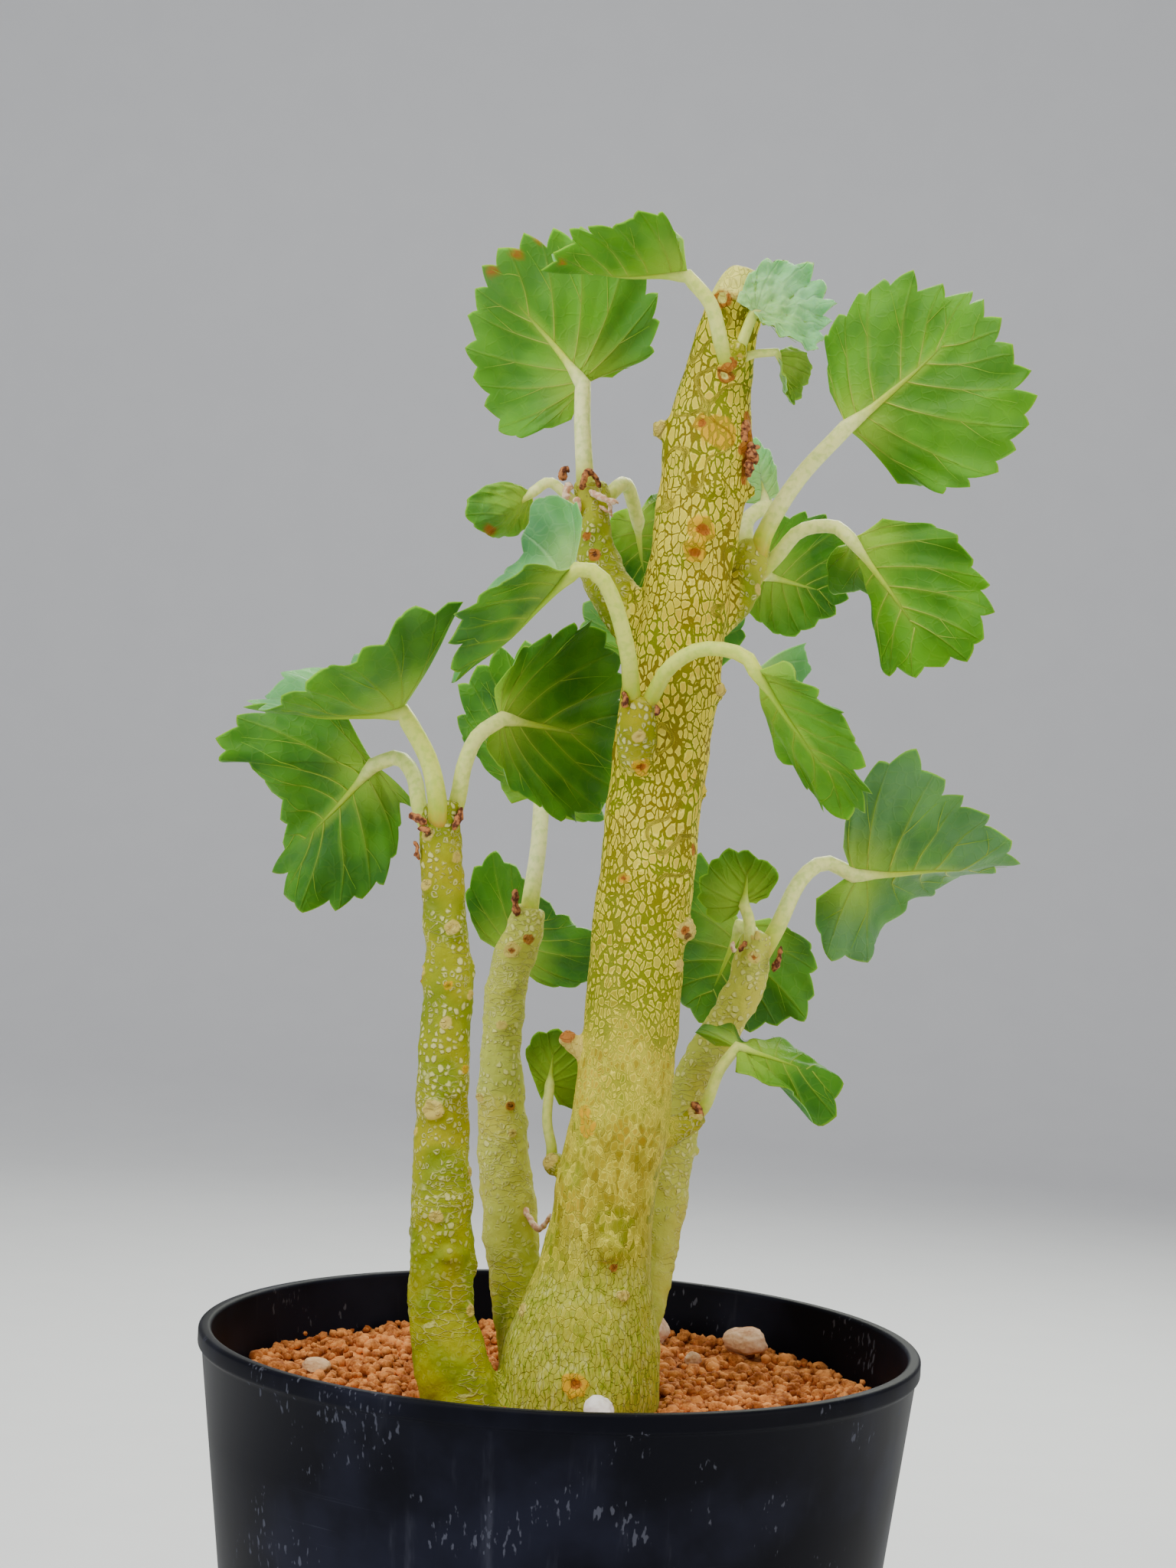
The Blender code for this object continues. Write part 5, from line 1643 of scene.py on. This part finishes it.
    def tint_by_place(self, points: list[Vector], tint: dict[str, list[float]]) -> None:
        """Mark the young stems, the cut top, the dried stub and the sap scar.

        Args:
            points: the skin's points in millimetres.
            tint: the strengths to fill in.
        """
        trunk = Route(STEMS[0])
        stations = trunk.stations(120)
        axis = KDTree(len(stations))
        for index, station in enumerate(stations):
            axis.insert(station.xyz, index)
        axis.balance()
        dried = []
        for number, mark, reach in ((STUB, "pale", 0.9), (SAP_SCAR, "rust", 0.6)):
            for station in Route(STEMS[number]).stations(8):
                dried.append((station.xyz, station.w + reach, mark))
        for index, point in enumerate(points):
            _, station, away = axis.find(point)
            tint["young"][index] = smooth_step(*self.young_reach, away - stations[station].w)
            tint["flesh"][index] = smooth_step(*self.cut_top, point.z)
            for place, reach, mark in dried:
                gap = (point - place).length
                if gap < reach:
                    deepen(tint[mark], index, smooth_step(reach, reach * 0.75, gap))

    def build(self) -> BVHTree:
        """Returns:
            The finished skin, for placing what sits on it.
        """
        mesh = self.skin()
        tint = self.roughen(mesh)
        for name, values in tint.items():
            write_mark(mesh, name, values)
        declare("caudex_body", mesh, [self.finish.material()], "bark", "caudex")
        return BVHTree.FromPolygons([v.co for v in mesh.vertices], [p.vertices for p in mesh.polygons])


@dataclass(frozen=True)
class Wisp:
    """A dried bit of the plant: a stipule, a bleached stalk, a flake or a thread.

    path: the photograph's pixels that it runs through, each with its depth in millimetres.
    start, end: its radius at both ends.
    ashen: whether it is bleached instead of brown.
    """
    path: tuple
    start: float
    end: float
    ashen: bool = False


WISPS = tuple(Wisp(*row) for row in (
    (((737, 626, 6), (735, 618, 5.2), (739, 613, 5), (743, 616, 5.4)), 0.75, 0.45),
    (((760, 640, 4.4), (762, 628, 4.0), (767, 616, 4.2), (773, 614, 5.0)), 0.65, 0.5),
    (((766, 616, 4.4), (774, 619, 4.8), (781, 629, 5.4), (783, 640, 6.2)), 0.5, 0.35),
    (((770, 641, 4.6), (781, 648, 3.8), (793, 653, 3.4), (809, 657, 3.2)), 0.6, 0.45, True),
    (((793, 653, 3.5), (797, 660, 3.9), (797, 668, 4.6), (800, 675, 5.4)), 0.4, 0.3, True),
    (((782, 661, 5.0), (790, 665, 4.4), (797, 669, 4.6)), 0.3, 0.25, True),
    (((745, 632, 5.2), (739, 642, 4.8), (741, 652, 4.8)), 0.8, 0.6, True),
    (((752, 650, 4.4), (755, 660, 4.2), (754, 674, 4.6)), 0.8, 0.5, True),
    (((944, 481, -6.6), (953, 476, -7.2), (968, 471, -6.6)), 0.55, 0.35),
    (((975, 549, -4.2), (972, 563, -4.8), (970, 580, -4.6)), 0.8, 0.7),
    (((977, 580, -4.6), (984, 584, -4.4), (991, 583, -3.2)), 0.8, 0.4),
    (((975, 590, -4.8), (983, 594, -4.6), (988, 606, -3.6)), 0.95, 0.5),
    (((976, 600, -4.6), (979, 612, -4.6), (976, 624, -3.8)), 0.8, 0.5),
    (((555, 1078, -8.0), (549, 1070, -8.0), (539, 1066, -7.4), (538, 1062, -7.0)), 0.6, 0.6),
    (((561, 1086, -8.6), (553, 1083, -9.0), (546, 1082, -8.6)), 0.55, 0.4),
    (((549, 1122, -6.6), (544, 1116, -7.0), (545, 1106, -7.0), (541, 1098, -6.6)), 0.45, 0.3),
    (((595, 1078, -6.6), (600, 1067, -6.6), (602, 1054, -6.2)), 0.6, 0.5),
    (((592, 1084, -7.6), (597, 1072, -7.4), (596, 1064, -7.0)), 0.45, 0.3),
    (((1010, 1268, 17.4), (1017, 1252, 17.0), (1020, 1236, 17.4)), 0.8, 0.3),
    (((960, 1244, 17.6), (957, 1237, 17.2), (957, 1230, 17.0)), 0.45, 0.3, True),
    (((966, 1242, 17.2), (972, 1233, 16.8), (976, 1230, 17.0)), 0.5, 0.4),
    (((903, 1441, 0.6), (911, 1448, 0.2), (915, 1458, 0.6), (913, 1472, 1.4)), 0.8, 0.6),
    (((676, 1196, 13.8), (673, 1180, 13.4), (674, 1162, 13.6)), 0.65, 0.5),
    (((679, 1573, 10.6), (690, 1588, 8.4), (702, 1605, 5.4), (711, 1600, 3.0), (719, 1586, 0.6)),
     0.75, 0.3, True),
    (((815, 924, -11.6), (817, 914, -12.4), (814, 903, -12.6)), 0.5, 0.4),
    (((856, 934, -11.4), (859, 928, -11.8), (858, 921, -11.8)), 0.4, 0.3),
))


@dataclass
class DriedBits:
    """Everything that has dried on the plant: stipules, bleached stalks, flakes and a thread."""
    camera: Camera
    sides: int = 9
    steps: int = 14
    uneven: float = 0.5  # of a bit's radius
    uneven_wave: float = 0.9  # lumps per millimetre
    bent: float = 0.25  # how far its skin is crumpled
    bent_wave: float = 1.7
    brown: DriedFinish = DriedFinish("dried_stipule_skin", "#c07c48", "#582a14")
    ashen: DriedFinish = DriedFinish("bleached_stalk_skin", "#f0d4b4", "#d09a78")

    def build(self) -> None:
        shape = bmesh.new()
        for number, wisp in enumerate(WISPS):
            route = Route([self.camera.at_depth(*spot) for spot in wisp.path])
            stations = []
            for k in range(self.steps + 1):
                share = k / self.steps
                point = route.at(share)
                rough = 1.0 + self.uneven * noise(point * self.uneven_wave + Vector((number, 0, 0)))
                radius = (wisp.start + (wisp.end - wisp.start) * share) * rough
                stations.append((point, radius * min(1.0, 0.45 + 2.0 * min(share, 1.0 - share) * 2.0)))
            tube(shape, stations, self.sides, int(wisp.ashen))
        for vert in shape.verts:
            spot = vert.co / MM * self.bent_wave
            push = Vector([noise(spot + Vector((k * 9.0, 0, 0))) for k in range(3)])
            vert.co += push * self.bent * MM
        finishes = [self.brown.material(), self.ashen.material()]
        declare("dried_bits", finished(shape, "dried_bits"), finishes, "bark")


# Pot, soil and stones

@dataclass
class Pot:
    """A 12 cm round pot of black plastic with a rolled lip and drainage holes."""
    height: float = 110.0
    rim_radius: float = 60.0
    body_top_radius: float = 59.3
    base_radius: float = 46.5
    wall: float = 1.5
    floor: float = 2.2
    lip_height: float = 3.2
    lip_step: float = 0.4
    lip_round: float = 0.7
    base_round: float = 1.6
    turns: int = 160
    drain_holes: int = 6
    drain_radius: float = 4.5
    drain_circle: float = 28.0
    drain_turn: float = 5.0
    finish: PotFinish = PotFinish()

    def wall_radius(self, height: float) -> float:
        """Outer radius of the wall at a height, below the lip."""
        lip_foot = self.height - self.lip_height - self.lip_step
        return self.base_radius + (self.body_top_radius - self.base_radius) * height / lip_foot

    def arc(self, x: float, z: float, radius: float, start: float, end: float) -> list[tuple[float, float]]:
        """Points of a round corner, angles in degrees."""
        steps = 6
        angles = (radians(start + (end - start) * i / steps) for i in range(steps + 1))
        return [(x + radius * cos(a), z + radius * sin(a)) for a in angles]

    def profile(self) -> list[tuple[float, float]]:
        """Section of the pot, from the middle of the inner floor round to that of the underside.

        Returns:
            Its points, as distance from the axis and height.
        """
        bead_foot = self.height - self.lip_height
        step_foot = bead_foot - self.lip_step
        inner_top = self.wall_radius(step_foot) - self.wall
        lip_in, lip_out = inner_top + self.lip_round, self.rim_radius - self.lip_round
        points = [(0.0, self.floor), (self.wall_radius(self.floor) - self.wall, self.floor)]
        points += [(inner_top, step_foot)]
        points += self.arc(lip_in, self.height - self.lip_round, self.lip_round, 180.0, 90.0)
        points += self.arc(lip_out, self.height - self.lip_round, self.lip_round, 90.0, 0.0)
        points += self.arc(lip_out, bead_foot + self.lip_round, self.lip_round, 0.0, -60.0)
        points += [(self.wall_radius(step_foot), step_foot)]
        points += [(self.wall_radius(step_foot * k / 8), step_foot * k / 8) for k in range(7, 0, -1)]
        points += self.arc(self.base_radius - self.base_round, self.base_round, self.base_round, 0.0, -90.0)
        return points + [(0.0, 0.0)]

    def build(self) -> None:
        shape = bmesh.new()
        verts = [shape.verts.new((x * MM, 0.0, z * MM)) for x, z in self.profile()]
        edges = [shape.edges.new(pair) for pair in zip(verts, verts[1:])]
        bmesh.ops.spin(shape, geom=verts + edges, cent=(0, 0, 0), axis=(0, 0, 1), angle=tau,
                       steps=self.turns, use_merge=True)
        bmesh.ops.remove_doubles(shape, verts=shape.verts, dist=1e-6)
        body = add_object("turned_pot", finished(shape, "turned_pot"))
        drills = bmesh.new()
        for i in range(self.drain_holes):
            angle = tau * i / self.drain_holes + radians(self.drain_turn)
            drill = bmesh.ops.create_cone(drills, cap_ends=True, segments=40, radius1=self.drain_radius * MM,
                                          radius2=self.drain_radius * MM, depth=4 * self.floor * MM)
            centre = Vector((cos(angle), sin(angle), 0.0)) * self.drain_circle * MM
            bmesh.ops.translate(drills, verts=drill["verts"], vec=centre)
        cutter = add_object("drills", finished(drills, "drills"))
        cut = body.modifiers.new("drain", "BOOLEAN")
        cut.operation = "DIFFERENCE"
        cut.object = cutter
        mesh = settled(body)
        bpy.data.objects.remove(cutter)
        mesh.shade_smooth()
        mesh.set_sharp_from_angle(angle=radians(40.0))
        declare("pot_body", mesh, [self.finish.material()], "pot", "pot")


@dataclass(frozen=True)
class Stone:
    """A pebble on the soil: where its middle is, its three widths, its seed and its finish."""
    name: str
    place: tuple
    widths: tuple
    seed: int
    light: str
    dark: str


STONES = (
    Stone("stone_white_front", (7.0, -22.5, 101.9), (7.4, 5.0, 6.0), 3, "#f7f4ee", "#e6ded2"),
    Stone("stone_beige_large", (33.0, 36.0, 103.2), (8.2, 6.6, 5.4), 5, "#e6c3a0", "#bd8a64"),
    Stone("stone_pale_rear", (16.0, 45.0, 102.9), (8.6, 6.0, 6.0), 8, "#e8cdb4", "#c49c7e"),
    Stone("stone_beige_flat", (-41.0, 9.0, 100.6), (7.0, 5.0, 3.0), 11, "#d9b48c", "#b98a5e"),
    Stone("stone_small", (23.5, 29.0, 101.0), (3.2, 2.8, 2.6), 14, "#e0c4a6", "#c49a74"),
)


@dataclass
class Soil:
    """A bed of baked clay grit that fills the pot to a centimetre below its lip."""
    pot: Pot
    top: float = 99.5
    rise: float = 1.8  # how much higher it lies at the back
    swell: float = 1.2  # height of its long low waves
    wave: float = 20.0
    relief: float = 0.9
    relief_wave: float = 2.2
    gap: float = 0.4  # between the soil and the pot's wall
    bed_rings: int = 44
    bed_sides: int = 150
    bank: float = 0.9  # how far the bed lies under its grains
    # grains of 2 to 3 and of 1 to 2 mm: how many, how finely divided, least and largest radius
    sorts: tuple = ((620, 2, 0.85, 1.45), (3600, 1, 0.42, 0.95))
    kinds: int = 12  # different grains of each sort
    grain_lump: float = 0.38  # how uneven a grain is, of its radius
    grain_wave: float = 1.25  # lumps per radius
    grain_stretch: float = 1.15
    sunk: float = 0.35  # how deep a grain sits, of its radius
    seed: int = 77
    finish: ClayFinish = ClayFinish("baked_clay_grit", "#e39650", "#8a4512", 330.0)

    def height(self, x: float, y: float) -> float:
        """Height of the soil's surface, as in the part."""
        swell = noise(Vector((x / self.wave, y / self.wave, 4.0))) * self.swell
        crumbs = noise(Vector((x / self.relief_wave, y / self.relief_wave, 9.0))) * self.relief
        return self.top + self.rise * max(0.0, y) / self.pot.body_top_radius + swell + crumbs

    def reach(self, height: float) -> float:
        """Radius of the soil at a height."""
        return self.pot.wall_radius(height) - self.pot.wall - self.gap

    def bed(self, shape: BMesh) -> None:
        """Add the closed bed under the loose grains.

        Args:
            shape: the bmesh that it is added to.
        """
        rings = self.bed_rings
        floor = self.pot.floor + self.gap

        def place(column: int, row: int) -> Vector:
            """Point of the top, the side or the underside."""
            angle = tau * column / self.bed_sides
            if row <= rings:
                radius = self.reach(self.top) * row / rings
                x, y = radius * cos(angle), radius * sin(angle)
                return Vector((x, y, self.height(x, y) - self.bank))
            radius = self.reach(floor) * (rings + 2 - row)
            return Vector((radius * cos(angle), radius * sin(angle), floor))

        mapped_grid(shape, self.bed_sides, rings + 2, place)

    def grain_shape(self, draw: random.Random, fineness: int) -> Mesh:
        """A lumpy unit grain."""
        shape = bmesh.new()
        bmesh.ops.create_icosphere(shape, subdivisions=fineness, radius=1.0)
        shift = Vector([draw.uniform(0, 60) for _ in range(3)])
        for vert in shape.verts:
            vert.co *= 1.0 + self.grain_lump * noise(vert.co * self.grain_wave + shift)
            vert.co.x *= self.grain_stretch
        return finished(shape, "grain")

    def scatter(self, shape: BMesh, taken: BVHTree) -> None:
        """Strew the grains over the bed, clear of the stems and stones.

        Args:
            shape: what they are added to.
            taken: the plant's body.
        """
        draw = random.Random(self.seed)
        limit = self.reach(self.top)
        for count, fineness, low, high in self.sorts:
            templates = [self.grain_shape(draw, fineness) for _ in range(self.kinds)]
            for k in range(count):
                size = draw.uniform(low, high)
                radius = (limit - size) * math.sqrt((k + 0.5) / count)
                angle = k * GOLDEN_TURN + draw.uniform(-0.4, 0.4)
                x, y = radius * cos(angle), radius * sin(angle)
                spot = Vector((x, y, self.height(x, y) - self.sunk * size + draw.uniform(-0.3, 0.35)))
                turn = Matrix.Rotation(draw.uniform(0, tau), 4, "Z")
                turn @= Matrix.Rotation(draw.uniform(0, tau), 4, "X")
                if self.is_free(spot, size, taken):
                    grain = templates[k % len(templates)]
                    move = Matrix.Translation(spot * MM) @ turn @ Matrix.Scale(size * MM, 4)
                    grain.transform(move)
                    shape.from_mesh(grain)
                    grain.transform(move.inverted())
            for template in templates:
                bpy.data.meshes.remove(template)

    def is_free(self, spot: Vector, size: float, taken: BVHTree) -> bool:
        """Whether a grain there stays clear of the plant and the stones."""
        if taken.find_nearest(spot * MM, (size * 0.7) * MM)[0]:
            return False
        for stone in STONES:
            flat = (spot - Vector(stone.place)).xy
            if math.hypot(flat.x / (stone.widths[0] * 0.5), flat.y / (stone.widths[1] * 0.5)) < 0.9:
                return False
        return True

    def build(self, taken: BVHTree) -> None:
        material = self.finish.material()
        bed = bmesh.new()
        self.bed(bed)
        declare("soil_bed", finished(bed, "soil_bed"), [material], "soil", "soil")
        grains = bmesh.new()
        self.scatter(grains, taken)
        declare("soil_grains", finished(grains, "soil_grains", recalc=False), [material], "soil", "soil")


@dataclass
class Pebbles:
    """The loose stones on the soil."""
    uneven: float = 0.16
    lumps: float = 1.3
    faces: int = 11  # flat faces broken off each stone
    broken: float = 0.8  # how flat these are
    chips: float = 0.05
    chip_wave: float = 4.0
    pits: float = 0.015
    pit_wave: float = 13.0
    grain: float = 260.0  # of its finish

    def shape(self, stone: Stone) -> Mesh:
        """A worn, chipped pebble that keeps its plain solid's form.

        Args:
            stone: its row in the table.

        Returns:
            The pebble's mesh.
        """
        draw = random.Random(stone.seed)
        shift = Vector([draw.uniform(0, 50) for _ in range(3)])
        turn = Matrix.Rotation(draw.uniform(0.0, math.pi), 3, "Z")
        shape = bmesh.new()
        bmesh.ops.create_icosphere(shape, subdivisions=5, radius=1.0)
        cuts = [(Vector([draw.gauss(0.0, 1.0) for _ in range(3)]).normalized(), draw.uniform(0.8, 0.95))
                for _ in range(self.faces)]
        for vert in shape.verts:
            for way, limit in cuts:
                vert.co -= way * max(0.0, vert.co.dot(way) - limit) * self.broken
            uneven = 1.0 + self.uneven * noise(vert.co * self.lumps + shift)
            chips = self.chips * noise(vert.co * self.chip_wave + shift)
            uneven += chips + self.pits * noise(vert.co * self.pit_wave)
            half = Vector([c * uneven * w / 2.0 for c, w in zip(vert.co, stone.widths)])
            vert.co = (turn @ half + Vector(stone.place)) * MM
        return finished(shape, stone.name)

    def build(self) -> None:
        """Model and declare every stone."""
        for stone in STONES:
            finish = ClayFinish(f"{stone.name}_mineral", stone.light, stone.dark, self.grain)
            declare(f"{stone.name}_worn", self.shape(stone), [finish.material()], "stone", stone.name)


@dataclass(frozen=True)
class Lamp:
    """A soft square light.

    place, aim: where it is and what it shines at.
    size: its width.
    share: its power, of the studio's.
    tone: its colour.
    """
    name: str
    place: tuple
    aim: tuple
    size: float
    share: float
    tone: str


LAMPS = (
    Lamp("sky", (-150, -250, 900), (10, 0, 200), 700, 1.0, "#fffaf2"),
    Lamp("window", (-700, -500, 420), (10, 0, 200), 500, 0.55, "#f4f8ff"),
    Lamp("bounce", (650, -350, 330), (10, 0, 200), 500, 0.35, "#fff7ea"),
    Lamp("back", (150, 600, 600), (10, 0, 220), 500, 0.7, "#fbfff2"),
)


@dataclass
class Studio:
    """A plain pale floor that sweeps up behind, and soft lights."""
    half: float = 3000.0  # half the floor's width
    back: float = 900.0  # how far back the floor runs flat
    bend: float = 500.0  # radius of its rise
    wall: float = 2500.0  # height of the wall above that
    columns: int = 8
    flat_rows: int = 4
    bend_rows: int = 16
    floor_tone: str = "#e9eaec"
    floor_shade: str = "#e4e5e8"
    room_tone: str = "#dfe3ea"
    room_glow: float = 0.36
    power: float = 7.6  # watts

    def spread(self, column: int, row: int) -> Vector:
        """Point of the sweep: floor, bend and wall."""
        x = (column / self.columns - 0.5) * 2 * self.half
        if row <= self.flat_rows:
            return Vector((x, -self.half + (self.half + self.back) * row / self.flat_rows, 0.0))
        if row <= self.flat_rows + self.bend_rows:
            angle = math.pi / 2 * (row - self.flat_rows) / self.bend_rows
            return Vector((x, self.back + self.bend * sin(angle), self.bend * (1 - cos(angle))))
        return Vector((x, self.back + self.bend, self.bend + self.wall))

    def paper(self) -> Material:
        """Matt white paper, faintly clouded."""
        s = Surface("studio_paper")
        speckle = s.add(NOISE, s.place, 40.0)
        tone = s.add(BLEND, speckle, self.floor_tone, self.floor_shade)
        s.feed(s.shader, {"Base Color": tone, "Roughness": 0.9, "Specular IOR Level": 0.2})
        return s.material

    def add_lamp(self, lamp: Lamp) -> None:
        """Add a light to the scene.

        Args:
            lamp: its place, size and strength.
        """
        data = bpy.data.lights.new(lamp.name, "AREA")
        data.shape = "SQUARE"
        data.size = lamp.size * MM
        data.energy = self.power * lamp.share
        data.color = srgb(lamp.tone)[:3]
        obj = add_object(lamp.name, data)
        place = Vector(lamp.place)
        turn = (Vector(lamp.aim) - place).to_track_quat("-Z", "Y")
        obj.matrix_world = Matrix.Translation(place * MM) @ turn.to_matrix().to_4x4()

    def build(self) -> None:
        """Add the floor, the world and the lights."""
        shape = bmesh.new()
        mapped_grid(shape, self.columns, self.flat_rows + self.bend_rows + 1, self.spread)
        sweep = add_object("paper_sweep", finished(shape, "paper_sweep", recalc=False))
        sweep.data.materials.append(self.paper())
        world = bpy.data.worlds.new("pale_room")
        world.use_nodes = True
        glow = world.node_tree.nodes["Background"]
        glow.inputs["Color"].default_value = srgb(self.room_tone)
        glow.inputs["Strength"].default_value = self.room_glow
        bpy.context.scene.world = world
        for lamp in LAMPS:
            self.add_lamp(lamp)


def main() -> None:
    """Build every piece of the potted plant and its studio."""
    camera = Camera()
    camera.build()
    Studio().build()
    pot = Pot()
    pot.build()
    body = Caudex(camera).build()
    Soil(pot).build(body)
    Pebbles().build()
    Foliage(camera).build()
    DriedBits(camera).build()


if __name__ == "__main__":
    logging.basicConfig(level=logging.INFO, format="%(message)s")
    main()
